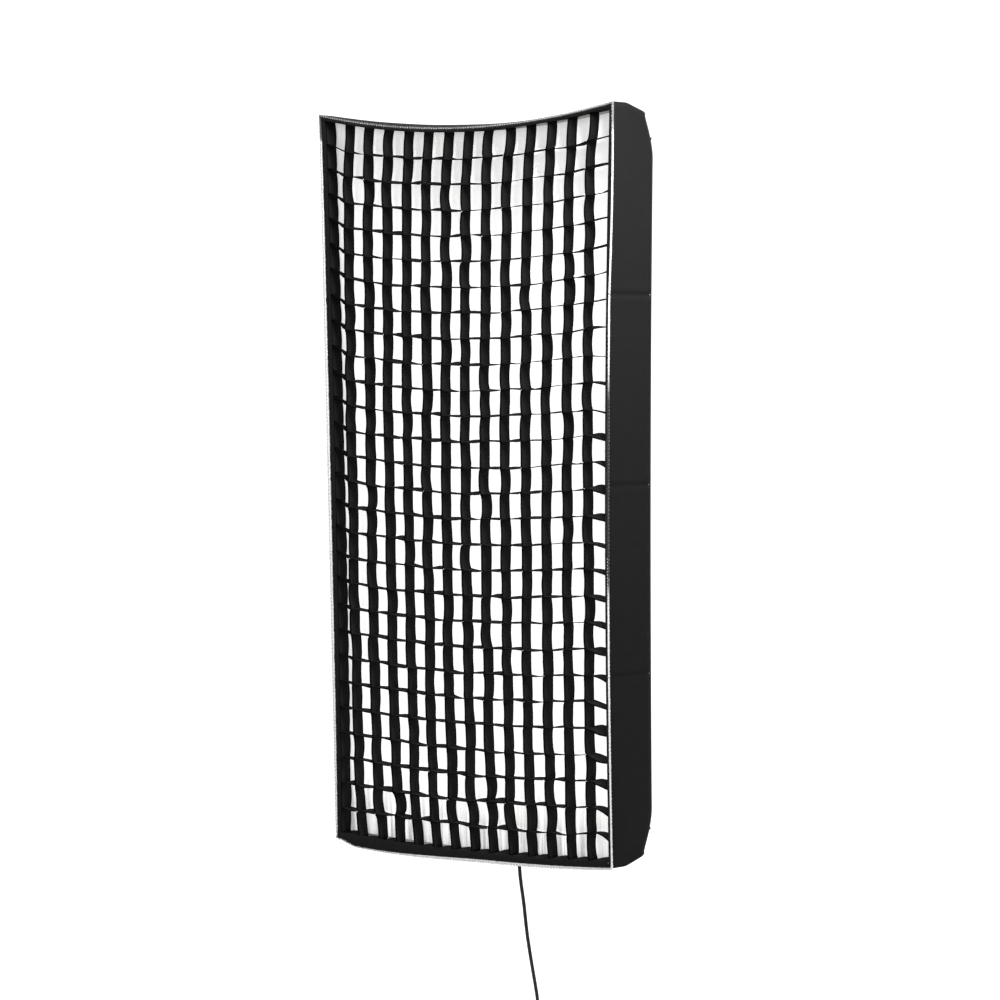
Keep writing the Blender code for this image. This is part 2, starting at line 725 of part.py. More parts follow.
def tongue():
    reach = (0, -0.0440, AXIS_Z)
    body = ear_plate("tilt_tongue", -LUG_HALF, LUG_HALF, reach, 0.0130, "tilt_axis", BLACK_METAL)
    bearing = rod("bearing", 0.0185, (0, BEARING[1], AXIS_Z), (0, BEARING[0], AXIS_Z), sides=28)
    boss = rod("knob_boss", 0.0095, (0, -0.070, AXIS_Z + 0.010), (0, -0.070, AXIS_Z + 0.0235))
    join(body, bearing, boss)
    cut(body, rod("lug_hole", BOLT_R + RUN, (-0.04, 0, AXIS_Z), (0.04, 0, AXIS_Z)))
    bore_start, bore_end = (0, BEARING[1] - 0.010, AXIS_Z), (0, BEARING[0] - 0.010, AXIS_Z)
    cut(body, rod("shaft_bore", SHAFT_R + RUN, bore_start, bore_end, sides=28))
    cut(body, rod("knob_thread", 0.0034, (0, -0.070, AXIS_Z), (0, -0.070, AXIS_Z + 0.04)))


def rotation_shaft():
    """Turned, with a shoulder between hub and bearing, and the groove that the lock knob's tip runs in."""
    start, end = -BEARING[1] + 0.0110, -HUB[1] + 0.0130
    outline = [
        (0.0000, end),
        (SHAFT_R, end),
        (SHAFT_R, -HUB[1] - GAP),
        (0.0120, -HUB[1] - GAP),
        (0.0120, -BEARING[0] + GAP),
        (SHAFT_R, -BEARING[0] + GAP),
        (SHAFT_R, 0.0740),
        (0.0062, 0.0740),
        (0.0062, 0.0660),
        (SHAFT_R, 0.0660),
        (SHAFT_R, start),
        (0.0000, start),
    ]
    turned("rotation_shaft", outline, (0, 0, AXIS_Z), (0, -1, 0), "rotation_axis", STEEL, 24)


def rotation_knob():
    foot, neck, drum, top = (Vector((0, -0.070, AXIS_Z + up)) for up in (0.0068, 0.0241, 0.0270, 0.0410))
    knob = star("rotation_lock_knob", 0.0130, drum, top, 5, "rotation_knob_axis", BLACK_PLASTIC)
    root = drum + Vector((0, 0, 0.002))
    join(knob, rod("rotation_stem", 0.0030, foot, root, sides=16))
    join(knob, rod("rotation_neck", 0.0062, neck, root, sides=16))


receiver()
clamp_knob()
tilt_bolt()
tilt_lever()
tongue()
rotation_shaft()
rotation_knob()
hub()
arms()
mat()
junction()
lead()
coil()
connector()
skirt()
rims()
diffuser()
grid()
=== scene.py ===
import math
import random

import bpy
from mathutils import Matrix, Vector, noise


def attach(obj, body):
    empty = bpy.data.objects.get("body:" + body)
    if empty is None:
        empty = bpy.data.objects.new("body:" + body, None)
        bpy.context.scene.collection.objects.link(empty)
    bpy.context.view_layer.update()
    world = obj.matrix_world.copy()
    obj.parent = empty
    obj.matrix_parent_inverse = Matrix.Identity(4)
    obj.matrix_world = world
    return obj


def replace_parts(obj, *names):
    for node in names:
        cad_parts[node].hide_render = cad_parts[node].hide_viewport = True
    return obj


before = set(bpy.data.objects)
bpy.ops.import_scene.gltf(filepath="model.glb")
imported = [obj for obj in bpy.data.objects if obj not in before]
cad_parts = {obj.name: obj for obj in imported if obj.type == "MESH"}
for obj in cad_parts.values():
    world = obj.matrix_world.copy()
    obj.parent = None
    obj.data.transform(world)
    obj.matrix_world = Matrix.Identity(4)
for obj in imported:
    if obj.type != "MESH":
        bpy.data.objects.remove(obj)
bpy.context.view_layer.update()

# The box and how it hangs, as in the CAD source. Metres, +Z up, front to -Y.
FACE_WIDTH, FACE_HEIGHT, DEPTH = 0.600, 1.200, 0.105
HALF_W, HALF_H = FACE_WIDTH / 2, FACE_HEIGHT / 2
FACE_Y, AXIS_Z, GAP = -0.385, 0.085, 0.0003
FRONT_SAG, FRONT_SAG_RISE = 0.0192, 0.0110
REAR_SAG, REAR_SAG_RISE = 0.0090, 0.0050
SIDE_BOW, BOW_FADE, TWIST = 0.0084, 0.5, 0.0400
CORNER_START, CORNER_END = 0.86, 0.985
CORNER_TUCK, CORNER_DROP, TUCK_FROM = 0.0220, 0.0120, 0.0360
WALL_FRONT, WALL = 0.0035, 0.0044
SHELL, LINING, LINING_INSET = 0.0010, 0.0008, 0.0036
DIFFUSER_AT, DIFFUSER_ROOM = 0.0315, (0.0035, 0.0062)
GRID_EDGE, GRID_FRONT = 0.0095, 0.0014
COLUMNS, ROWS = 14, 28
RIBBON_DEPTH, RIBBON, STRIP_SPACING = 0.0250, 0.0011, 0.037
STEPS_PER_CELL = 8
GRID_W, GRID_H = HALF_W - GRID_EDGE, HALF_H - GRID_EDGE
MAT_INSET, MAT_FRONT, MAT, BACKING = 0.0020, 0.1053, 0.0030, 0.0012
BACK = 0.1098
POCKET_AT = (0.262, 0.552)
ARM_SLOPE = 0.20

# The lead
LEAD_R = 0.0030
COIL_R = 0.0340
COIL_CENTRE = Vector((0.010, -0.1850, -0.8500))
TIE_ANGLE, CONNECTOR_ANGLE = 60, 205
BOX_STANDS = (0.0042, 0.0272)
RELIEF_LENGTH = 0.034

rng = random.Random(11)


def settle(x, y, z):
    """Where a point of the flat, square box goes once it hangs. x and z count from the middle of the
    face and y from its front."""
    u, v = x / HALF_W, z / HALF_H
    back = min(max((y - WALL_FRONT) / (DEPTH - WALL_FRONT), 0), 1)
    sag = (1 - back) * (FRONT_SAG + FRONT_SAG_RISE * v) + back * (REAR_SAG + REAR_SAG_RISE * v)
    bow = SIDE_BOW * (1 + u) / 2 * (1 - v * v) * (1 - BOW_FADE * back)
    end = min(max(0, (abs(v) - CORNER_START) / (CORNER_END - CORNER_START)), 1)
    tucked = end * min(max((y - TUCK_FROM) / (DEPTH - TUCK_FROM), 0), 1)
    twist = TWIST * (1 - u) / 2 * (1 - v) / 2
    return Vector(
        (
            x - bow,
            FACE_Y + y + twist - CORNER_TUCK * end**0.6 * tucked,
            AXIS_Z + z - sag * (1 - u * u) - math.copysign(CORNER_DROP * tucked, v),
        )
    )


def steps(low, high, count):
    return [low + (high - low) * i / count for i in range(count + 1)]


def smooth(low, high, value):
    t = min(max((value - low) / (high - low), 0), 1)
    return t * t * (3 - 2 * t)


def put(name, data):
    """A new object in the scene."""
    obj = bpy.data.objects.new(name, data)
    bpy.context.scene.collection.objects.link(obj)
    return obj


def noise_at(a, b, c):
    """A smooth random value, from -1 to 1."""
    return noise.noise(Vector((a, b, c)))


FORWARD, REARWARD = Vector((0, -1, 0)), Vector((0, 1, 0))


# Materials


class Paint:
    """A material's nodes, with short calls for the patterns that the finishes share. Patterns lie on
    a cloth's own flat coordinates in metres, or on the object's."""

    def __init__(self, name, colour, roughness, metallic=0.0, specular=0.5, sheen=0.0, cloth=False):
        self.material = bpy.data.materials.new(name)
        self.material.use_nodes = True
        self.nodes = self.material.node_tree.nodes
        self.links = self.material.node_tree.links
        self.shader = self.nodes["Principled BSDF"]
        self.set("Base Color", (*colour, 1))
        self.set("Roughness", roughness)
        self.set("Metallic", metallic)
        self.set("Specular IOR Level", specular)
        self.set("Sheen Weight", sheen)
        self.normal, self.at = None, self.place(cloth)
        self.material.diffuse_color = (*colour, 1)

    def set(self, socket, value):
        self.shader.inputs[socket].default_value = value

    def join(self, source, target):
        self.links.new(source, target)

    def node(self, kind, values):
        """A new node. values says what each of its sockets holds, or is joined to."""
        node = self.nodes.new("ShaderNode" + kind)
        for socket, value in values.items():
            if isinstance(value, bpy.types.NodeSocket):
                self.join(value, node.inputs[socket])
            else:
                node.inputs[socket].default_value = value
        return node

    def place(self, cloth):
        if cloth:
            node = self.node("Attribute", {})
            node.attribute_name = "flat"
            return node.outputs["Vector"]
        return self.node("TexCoord", {}).outputs["Object"]

    def math(self, operation, *values):
        node = self.node("Math", dict(enumerate(values)))
        node.operation = operation
        return node.outputs[0]

    def times(self, *factors):
        total = factors[0]
        for factor in factors[1:]:
            total = self.math("MULTIPLY", total, factor)
        return total

    def wave(self, source, period):
        return self.math("SINE", self.times(source, 2 * math.pi / period))

    def stretched(self, scale):
        node = self.node("VectorMath", {0: self.at, 1: scale})
        node.operation = "MULTIPLY"
        return node.outputs[0]

    def noise(self, scale, detail=3.0, roughness=0.55, distortion=0.0, at=None):
        values = {"Scale": scale, "Detail": detail, "Roughness": roughness, "Distortion": distortion}
        return self.node("TexNoise", {**values, "Vector": at or self.at}).outputs["Fac"]

    def axes(self, at=None):
        return self.node("SeparateXYZ", {0: at or self.at}).outputs

    def weave(self, pitch, at=None):
        """Threads that pass over and under each other, a pitch apart."""
        axes = self.axes(at)
        return self.times(self.wave(axes["X"], 2 * pitch), self.wave(axes["Y"], 2 * pitch))

    def ramp(self, source, low, high, first, second):
        """source between low and high goes from the first value to the second."""
        ends = {"From Min": low, "From Max": high, "To Min": first, "To Max": second}
        return self.node("MapRange", {"Value": source, **ends}).outputs["Result"]

    def tint(self, amount, colour):
        """Mixes a colour over what the base colour is so far."""
        node = self.node("Mix", {"Factor": amount})
        node.data_type = "RGBA"
        base = self.shader.inputs["Base Color"]
        if base.is_linked:
            self.join(base.links[0].from_socket, node.inputs["A"])
        else:
            node.inputs["A"].default_value = base.default_value
        node.inputs["B"].default_value = (*colour, 1)
        self.join(node.outputs["Result"], base)

    def patch(self, source, low, high, first, second, colour):
        """Shows a colour from the first to the second amount as source goes from low to high."""
        self.tint(self.ramp(source, low, high, first, second), colour)

    def rough(self, pattern, smoothest, roughest):
        """Lets the roughness follow a noise pattern."""
        self.join(self.ramp(pattern, 0.3, 0.7, smoothest, roughest), self.shader.inputs["Roughness"])

    def bump(self, height, distance, strength=1.0):
        values = {"Height": height, "Distance": distance, "Strength": strength}
        if self.normal:
            values["Normal"] = self.normal
        self.normal = self.node("Bump", values).outputs["Normal"]
        self.join(self.normal, self.shader.inputs["Normal"])

    def edges(self, low, high):
        """1 where the surface is a convex edge, through geometry's pointiness."""
        return self.ramp(self.node("NewGeometry", {}).outputs["Pointiness"], low, high, 0, 1)


def woven(name, colour, lighter, pitch, roughness=0.85, sheen=0.05, crease=0.0006, cloth=True):
    """A plain-woven cloth: thread relief, soft creases, dusty patches."""
    paint = Paint(name, colour, roughness, specular=0.25, sheen=sheen, cloth=cloth)
    threads = paint.weave(pitch)
    patches = paint.noise(9, 4)
    fine = paint.noise(900, 2)
    paint.patch(patches, 0.35, 0.75, 0, 0.55, lighter)
    paint.patch(threads, -1, 1, 0.35, 0, [part * 0.45 for part in colour])
    paint.rough(fine, roughness - 0.08, roughness + 0.08)
    paint.bump(paint.noise(22, 4, 0.6), crease)
    paint.bump(threads, pitch * 0.16)
    paint.bump(fine, pitch * 0.08)
    return paint.material


def skirt_fabric():
    """Coated black nylon with a faint bloom where it creases, and painted shade that darkens it towards
    its lower end, as light from above would.
    """
    paint = Paint("skirt_nylon", (0.0080, 0.0080, 0.0082), 0.66, specular=0.03, cloth=True)
    axes = paint.axes()
    mottle = paint.noise(380, 3, 0.6)
    threads = paint.weave(0.00055)
    crinkle = paint.noise(26, 5, 0.6, at=paint.stretched((1, 3, 1)))
    fine = paint.noise(1300, 2)
    bloom = paint.noise(6, 3)
    paint.patch(bloom, 0.35, 0.75, 0, 0.6, (0.0096, 0.0096, 0.0098))
    paint.patch(crinkle, 0.62, 0.80, 0, 0.30, (0.0170, 0.0170, 0.0172))
    paint.patch(threads, -1, 1, 0.40, 0, (0.0035, 0.0035, 0.0036))
    paint.patch(fine, 0.50, 0.75, 0, 0.35, (0.0190, 0.0190, 0.0192))
    paint.patch(mottle, 0.42, 0.58, 0, 0.55, (0.0125, 0.0125, 0.0127))
    # painted shade: the side walls get darker towards their lower end, as if lit from above
    paint.patch(axes["Y"], 0.42, -0.20, 0, 0.40, (0.0022, 0.0022, 0.0022))
    paint.rough(fine, 0.58, 0.74)
    paint.bump(crinkle, 0.0012, 0.6)
    paint.bump(threads, 0.00009)
    return paint.material


def ribbon_fabric():
    """The grid's soft black ribbon, pressed darker along both hems, with painted light that makes it
    lighter towards the bottom.
    """
    paint = Paint("grid_ribbon", (0.0090, 0.0090, 0.0092), 0.85, specular=0.03, cloth=True)
    axes = paint.axes()
    across = paint.math("MODULO", axes["X"], STRIP_SPACING)
    middle = paint.math("ABSOLUTE", paint.math("SUBTRACT", across, RIBBON_DEPTH / 2))
    hem = paint.ramp(middle, RIBBON_DEPTH / 2 - 0.0046, RIBBON_DEPTH / 2 - 0.0022, 0, 0.95)
    height = paint.axes(paint.place(False))["Z"]
    threads = paint.weave(0.0005)
    fine = paint.noise(1100, 3)
    paint.patch(paint.noise(30, 4), 0.35, 0.75, 0, 0.6, (0.0135, 0.0135, 0.0138))
    paint.patch(threads, -1, 1, 0.35, 0, (0.0040, 0.0040, 0.0041))
    # painted light: lighter towards the bottom, evening out the side light that brightens the upper rows
    paint.patch(height, 0.35, -0.45, 0, 0.7, (0.0170, 0.0170, 0.0172))
    paint.tint(hem, (0.0008, 0.0008, 0.0008))
    paint.rough(fine, 0.78, 0.92)
    paint.bump(paint.noise(60, 4, 0.6), 0.0006)
    paint.bump(threads, 0.00008)
    return paint.material


def binding_tape():
    """The pale tape, dark round the middle of the right side, and painted dark along the top as shade,
    less so towards the right.
    """
    paint = Paint("pale_tape", (0.70, 0.70, 0.70), 0.85, specular=0.2, sheen=0.1)
    axes = paint.axes()
    fuzz = paint.noise(420, 4, 0.65)
    level, across = axes["Z"], axes["X"]
    ragged = paint.math("ADD", level, paint.ramp(fuzz, 0.3, 0.7, -0.012, 0.012))
    low, high = paint.ramp(ragged, -0.10, -0.06, 0, 1), paint.ramp(ragged, 0.22, 0.28, 1, 0)
    middle = paint.times(low, high, paint.ramp(across, 0.28, 0.29, 0, 1))
    depth = paint.ramp(across, 0.0, 0.2, 0.94, 0.76)
    # painted shade along the top run of the tape, less deep towards the right
    top = paint.times(paint.ramp(ragged, 0.640, 0.648, 0, 1), depth)
    threads = paint.weave(0.0009, at=paint.stretched((1, 1, 0.7)))
    paint.patch(fuzz, 0.45, 0.70, 0, 0.6, (0.38, 0.38, 0.38))
    paint.patch(threads, -1, 1, 0.35, 0, (0.24, 0.24, 0.24))
    # darkens the middle of the right side, and the top run as painted shade
    paint.tint(paint.math("MAXIMUM", middle, top), (0.012, 0.012, 0.012))
    paint.rough(fuzz, 0.78, 0.92)
    paint.bump(fuzz, 0.0006)
    return paint.material


def diffuser_fabric():
    """White cloth, lit evenly from behind, dimmer towards its edge. Painted shade dims its glow most at
    the top, where the top strip shades it, and along its hanging folds, with grey streaks low down.
    """
    paint = Paint("diffuser_white", (0.90, 0.90, 0.89), 0.85, specular=0.2, sheen=0.1, cloth=True)
    axes = paint.axes()
    folds = paint.noise(1, 4, 0.6, 0.4, at=paint.stretched((34, 2.6, 1)))
    threads = paint.weave(0.0006)
    # painted shade: the glow dims towards the top, where the top strip shades it
    upward = paint.ramp(axes["Y"], 0.40, 0.60, 1.0, 0.50)
    downward = paint.ramp(axes["Y"], -0.60, -0.50, 0.82, 1.0)
    sideways = paint.ramp(paint.math("ABSOLUTE", axes["X"]), 0.20, 0.30, 1.0, 0.86)
    # painted shade along the hanging folds, with grey streaks of it in the lowest rows
    hanging = paint.ramp(folds, 0.42, 0.62, 0.90, 1.0)
    pleats = paint.noise(1, 3, 0.6, 0.6, at=paint.stretched((150, 5, 1)))
    low_edge = paint.ramp(axes["Y"], -0.57, -0.48, 1, 0)
    pleated = paint.times(paint.ramp(pleats, 0.57, 0.42, 0, 0.60), low_edge)
    shade = paint.times(upward, downward, sideways, hanging, paint.math("SUBTRACT", 1.0, pleated))
    channels = [paint.times(shade, 0.90 * warmth) for warmth in (1.0, 1.0, 0.99)]
    glow = paint.node("CombineColor", dict(enumerate(channels)))
    paint.join(glow.outputs[0], paint.shader.inputs["Emission Color"])
    paint.set("Emission Strength", 1.0)
    # painted shade in the base colour along the folds
    paint.patch(folds, 0.60, 0.38, 0, 0.25, (0.70, 0.70, 0.71))
    paint.bump(folds, 0.0030, 0.5)
    paint.bump(threads, 0.00008)
    return paint.material


def hook_band():
    """Black brushed loop tape: a deep, soft, uneven pile."""
    paint = Paint("hook_and_loop", (0.0050, 0.0050, 0.0051), 0.97, specular=0.05, sheen=0.02)
    pile = paint.noise(1500, 3, 0.7)
    tufts = paint.noise(260, 3, 0.6)
    paint.patch(pile, 0.52, 0.72, 0, 0.8, (0.0150, 0.0150, 0.0152))
    paint.patch(tufts, 0.40, 0.60, 0.4, 0, (0.0020, 0.0020, 0.0020))
    paint.rough(tufts, 0.90, 1.0)
    paint.bump(tufts, 0.0009)
    paint.bump(pile, 0.0004)
    return paint.material


def silver_lining():
    paint = Paint("silver_cloth", (0.60, 0.60, 0.61), 0.38, 0.75, specular=0.5, cloth=True)
    crinkle = paint.noise(70, 6, 0.65, 0.8)
    threads = paint.weave(0.0008)
    paint.patch(crinkle, 0.40, 0.60, 0.5, 0, (0.42, 0.42, 0.43))
    paint.patch(threads, -1, 1, 0.25, 0, (0.30, 0.30, 0.31))
    paint.rough(crinkle, 0.28, 0.50)
    paint.bump(crinkle, 0.0011)
    paint.bump(threads, 0.0001)
    return paint.material


def foam_board():
    paint = Paint("foamed_board", (0.12, 0.12, 0.12), 0.75, specular=0.35)
    cells = paint.noise(700, 3)
    paint.patch(paint.noise(14, 3), 0.35, 0.7, 0, 0.5, (0.16, 0.16, 0.16))
    paint.rough(cells, 0.68, 0.84)
    paint.bump(cells, 0.0002)
    return paint.material


def led_face():
    """The mat's white face: solder mask with its copper lines pressed through."""
    paint = Paint("led_mat_white", (0.62, 0.62, 0.595), 0.50, specular=0.45, cloth=True)
    runs = paint.wave(paint.axes()["Y"], 0.010)
    grime = paint.noise(12, 4)
    paint.patch(runs, 0.93, 0.97, 0, 0.4, (0.50, 0.485, 0.44))
    paint.patch(grime, 0.40, 0.75, 0, 0.3, (0.52, 0.51, 0.47))
    paint.rough(paint.noise(60, 3), 0.42, 0.60)
    paint.bump(paint.ramp(runs, 0.88, 0.96, 0, 1), 0.00015)
    paint.bump(paint.noise(30, 3), 0.0006)
    return paint.material


def phosphor():
    paint = Paint("led_phosphor", (0.90, 0.66, 0.16), 0.35, specular=0.6)
    paint.patch(paint.noise(420, 2), 0.35, 0.65, 0, 0.7, (0.88, 0.80, 0.45))
    paint.rough(paint.noise(900, 2), 0.28, 0.45)
    return paint.material


def powder_coat(name="black_powder_coat", worn=0.8):
    """Black powder coat on alloy, rubbed lighter along its edges."""
    paint = Paint(name, (0.014, 0.014, 0.015), 0.42, specular=0.4)
    peel = paint.noise(620, 3, 0.5)
    rub = paint.noise(90, 5, 0.7)
    wear = paint.times(paint.edges(0.53, 0.60), paint.ramp(rub, 0.42, 0.62, 0, worn))
    paint.patch(paint.noise(20, 3), 0.35, 0.7, 0, 0.5, (0.022, 0.022, 0.023))
    paint.tint(wear, (0.16, 0.16, 0.165))
    paint.rough(rub, 0.36, 0.54)
    paint.bump(peel, 0.00022)
    return paint.material


def steel():
    paint = Paint("satin_steel", (0.34, 0.345, 0.35), 0.30, 1.0)
    brushed = paint.noise(1, 3, 0.6, at=paint.stretched((900, 900, 60)))
    stain = paint.noise(45, 4)
    paint.patch(brushed, 0.40, 0.62, 0.3, 0, (0.22, 0.225, 0.23))
    paint.patch(stain, 0.50, 0.75, 0, 0.35, (0.26, 0.255, 0.25))
    paint.rough(stain, 0.22, 0.40)
    paint.bump(brushed, 0.00004)
    return paint.material


def moulded_plastic():
    paint = Paint("moulded_black_plastic", (0.014, 0.014, 0.0145), 0.50, specular=0.35)
    grain = paint.noise(1400, 3, 0.6)
    rub = paint.noise(60, 4, 0.65)
    wear = paint.times(paint.edges(0.53, 0.61), paint.ramp(rub, 0.45, 0.65, 0, 0.6))
    paint.patch(rub, 0.40, 0.70, 0, 0.5, (0.021, 0.021, 0.022))
    paint.tint(wear, (0.060, 0.060, 0.062))
    paint.rough(rub, 0.44, 0.60)
    paint.bump(grain, 0.00012)
    return paint.material


def turned_nylon():
    paint = Paint("turned_nylon", (0.74, 0.73, 0.69), 0.42, specular=0.45)
    rings = paint.noise(1, 2, at=paint.stretched((3000, 40, 40)))
    paint.patch(paint.noise(120, 3), 0.40, 0.70, 0, 0.5, (0.62, 0.60, 0.55))
    paint.rough(rings, 0.36, 0.50)
    paint.bump(rings, 0.00005)
    return paint.material


def rubber():
    """The lead's matt jacket, dusty and slightly rippled."""
    paint = Paint("lead_rubber_jacket", (0.0090, 0.0090, 0.0092), 0.62, specular=0.22)
    dust = paint.noise(55, 5, 0.65)
    grain = paint.noise(1800, 2)
    paint.patch(dust, 0.50, 0.75, 0, 0.6, (0.0200, 0.0198, 0.0190))
    paint.rough(dust, 0.54, 0.76)
    paint.bump(paint.noise(160, 2), 0.00025)
    paint.bump(grain, 0.00006)
    return paint.material


def circuit():
    paint = Paint("green_solder_mask", (0.016, 0.13, 0.055), 0.35, specular=0.55)
    lanes = paint.wave(paint.axes()["X"], 0.0022)
    broken = paint.ramp(paint.noise(130, 2), 0.48, 0.52, 0, 1)
    paint.tint(paint.times(paint.ramp(lanes, 0.3, 0.6, 0, 0.7), broken), (0.030, 0.24, 0.10))
    paint.rough(paint.noise(300, 2), 0.28, 0.45)
    paint.bump(lanes, 0.00004)
    return paint.material


def thread(name, colour, lighter):
    return woven(name, colour, lighter, 0.0003, 0.75, 0.1, 0.0001, False)


BACK_CLOTH = woven(
    "back_nylon", (0.0115, 0.0115, 0.0118), (0.0180, 0.0180, 0.0185), 0.0007, 0.72, 0.02, 0.0014
)
TAPE_BLACK = woven(
    "black_tape", (0.0060, 0.0060, 0.0062), (0.0110, 0.0110, 0.0112), 0.0009, 0.80, 0.02, 0.0002, False
)
GRID_CLOTH, TAPE_PALE = ribbon_fabric(), binding_tape()
THREAD_DARK = thread("dark_thread", (0.030, 0.030, 0.031), (0.060, 0.060, 0.062))
THREAD_GREY = thread("grey_thread", (0.16, 0.16, 0.16), (0.26, 0.26, 0.26))
THREAD_PALE = thread("pale_thread", (0.50, 0.50, 0.49), (0.66, 0.66, 0.65))
SKIRT_CLOTH, DIFFUSER_CLOTH, HOOK_BAND = skirt_fabric(), diffuser_fabric(), hook_band()
SILVER_CLOTH, BOARD, LED_FACE, PHOSPHOR = silver_lining(), foam_board(), led_face(), phosphor()
ALLOY, TUBE = powder_coat(), powder_coat("black_tube_coat", 0.0)
STEEL, PLASTIC, NYLON = steel(), moulded_plastic(), turned_nylon()
RUBBER, CIRCUIT = rubber(), circuit()


# Camera and light


AZIMUTH, DISTANCE, RISE = 38.33, 6.464, 0.2135  # from the middle of the face
AIM_YAW, AIM_PITCH, LENS = 37.786, 87.857, 144.74


def camera():
    data = bpy.data.cameras.new("camera")
    data.lens, data.sensor_width = LENS, 36
    data.clip_end = 100
    eye = put("camera", data)
    turn = math.radians(AZIMUTH)
    eye.location = (math.sin(turn) * DISTANCE, FACE_Y - math.cos(turn) * DISTANCE, AXIS_Z + RISE)
    eye.rotation_euler = (math.radians(AIM_PITCH), 0, math.radians(AIM_YAW))
    bpy.context.scene.camera = eye


def soft_light(name, place, aim, size, power, spread=180):
    data = bpy.data.lights.new(name, "AREA")
    data.shape, data.size, data.size_y, data.energy = "RECTANGLE", size[0], size[1], power
    data.spread = math.radians(spread)
    lamp = put(name, data)
    lamp.location = place
    lamp.rotation_euler = (Vector(aim) - Vector(place)).to_track_quat("-Z", "Y").to_euler()


def studio():
    world = bpy.data.worlds.new("studio")
    world.use_nodes = True
    world.node_tree.nodes["Background"].inputs["Color"].default_value = (1, 1, 1, 1)
    world.node_tree.nodes["Background"].inputs["Strength"].default_value = 0.70
    bpy.context.scene.world = world
    bpy.context.scene.view_settings.view_transform = "Standard"
    soft_light("key", (-1.6, -3.4, 3.2), (0, -0.3, 0.2), (1.8, 1.8), 50)
    soft_light("side", (1.45, -1.0, 1.55), (0.3, -0.33, 0.75), (0.9, 0.9), 23, 80)
    soft_light("rear", (-0.5, 3.6, 2.4), (0, 0, 0.1), (2.0, 2.0), 60)


def floor():
    """A pale sweep: a floor that curves up into the wall behind."""
    level, far, rise, reach = -1.20, 9.0, 1.6, 30.0
    curve = [(-reach, 0.0), (far - rise, 0.0)]
    for turn in steps(0.1, math.pi / 2, 14):
        curve.append((far - rise + rise * math.sin(turn), rise - rise * math.cos(turn)))
    curve.append((far, 9.0))
    verts = [(x, y, level + z) for y, z in curve for x in (-reach, reach)]
    faces = [(2 * i, 2 * i + 1, 2 * i + 3, 2 * i + 2) for i in range(len(curve) - 1)]
    mesh = bpy.data.meshes.new("studio_sweep")
    mesh.from_pydata(verts, [], faces)
    mesh.shade_smooth()
    sweep = put("studio_sweep", mesh)
    paint = Paint("pale_paper", (0.80, 0.80, 0.80), 0.9, specular=0.1)
    paint.patch(paint.noise(3, 3), 0.3, 0.7, 0, 0.5, (0.84, 0.84, 0.84))
    paint.set("Emission Color", (1, 1, 1, 1))
    paint.set("Emission Strength", 0.52)
    mesh.materials.append(paint.material)


# Basic pieces


def piece(name, verts, faces, material, body, slot=None, flat=None, thickness=0.0, offset=0.0):
    """A mesh that rides on a body. flat holds each point's place on the flat cloth."""
    mesh = bpy.data.meshes.new(name)
    mesh.from_pydata(verts, [], faces)
    mesh.shade_smooth()
    mesh.materials.append(material)
    if flat:
        stored = mesh.attributes.new("flat", "FLOAT_VECTOR", "POINT")
        stored.data.foreach_set("vector", [value for point in flat for value in (*point, 0.0)])
    obj = put(name, mesh)
    if thickness:
        skin = obj.modifiers.new("thickness", "SOLIDIFY")
        skin.thickness, skin.offset = thickness, offset
        skin.use_even_offset = False
    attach(obj, body)
    return obj


def cloth(name, first, second, place, thickness, material, body, slot=None, offset=0.0, turn=False):
    """A sheet over the lines in first and second, at place(a, b)."""
    verts = [place(a, b) for b in second for a in first]
    flat = [(a, b) for b in second for a in first]
    n = len(first)
    faces = []
    for j in range(len(second) - 1):
        for i in range(n - 1):
            corners = (j * n + i, j * n + i + 1, (j + 1) * n + i + 1, (j + 1) * n + i)
            faces.append(corners[::-1] if turn else corners)
    return piece(name, verts, faces, material, body, slot, flat, thickness, offset)


def rim_point(side, t, inset, y):
    """A point on a rectangle drawn in from the face's outline: t runs from -1 to 1 along each side,
    which are bottom, right, top and left."""
    w, h = HALF_W - inset, HALF_H - inset
    x, z = ((t * w, -h), (w, t * h), (-t * w, h), (-w, -t * h))[side]
    return settle(x, y, z)


RIM_STEPS = (44, 96, 44, 96)


def rim_band(name, section, material, body, slot=None, fine=1):
    """A closed section run round the box, with mitred corners. section(side, t) gives its (inset,
    depth) points."""
    verts, faces = [], []
    for side in range(4):
        for i in range(RIM_STEPS[side] * fine):
            t = -1 + 2 * i / (RIM_STEPS[side] * fine)
            points = section(side, t)
            verts += [rim_point(side, t, inset, y) for inset, y in points]
    count = len(points)
    rings = len(verts) // count
    for r in range(rings):
        for k in range(count):
            after, up = (r + 1) % rings, (k + 1) % count
            faces.append((r * count + k, r * count + up, after * count + up, after * count + k))
    return piece(name, verts, faces, material, body, slot)


def rice(verts, faces, middle, way, out, half, thick):
    """Adds one stitch: a pinched bead of thread along way, proud of the cloth towards out."""
    way = way.normalized()
    side = way.cross(out).normalized()
    up = side.cross(way)
    base = len(verts)
    verts.append(middle - way * half)
    for reach, girth in ((-0.72, 0.75), (0.0, 1.0), (0.72, 0.75)):
        for k in range(6):
            turn = math.pi * k / 3
            ring = side * math.cos(turn) + up * math.sin(turn) * 0.7
            verts.append(middle + way * half * reach + ring * thick * girth)
    verts.append(middle + way * half)
    for k in range(6):
        n = (k + 1) % 6
        faces.append((base, base + 1 + n, base + 1 + k))
        for r in range(2):
            low, high = base + 1 + 6 * r, base + 7 + 6 * r
            faces.append((low + k, low + n, high + n, high + k))
        faces.append((base + 13 + k, base + 13 + n, base + 19))


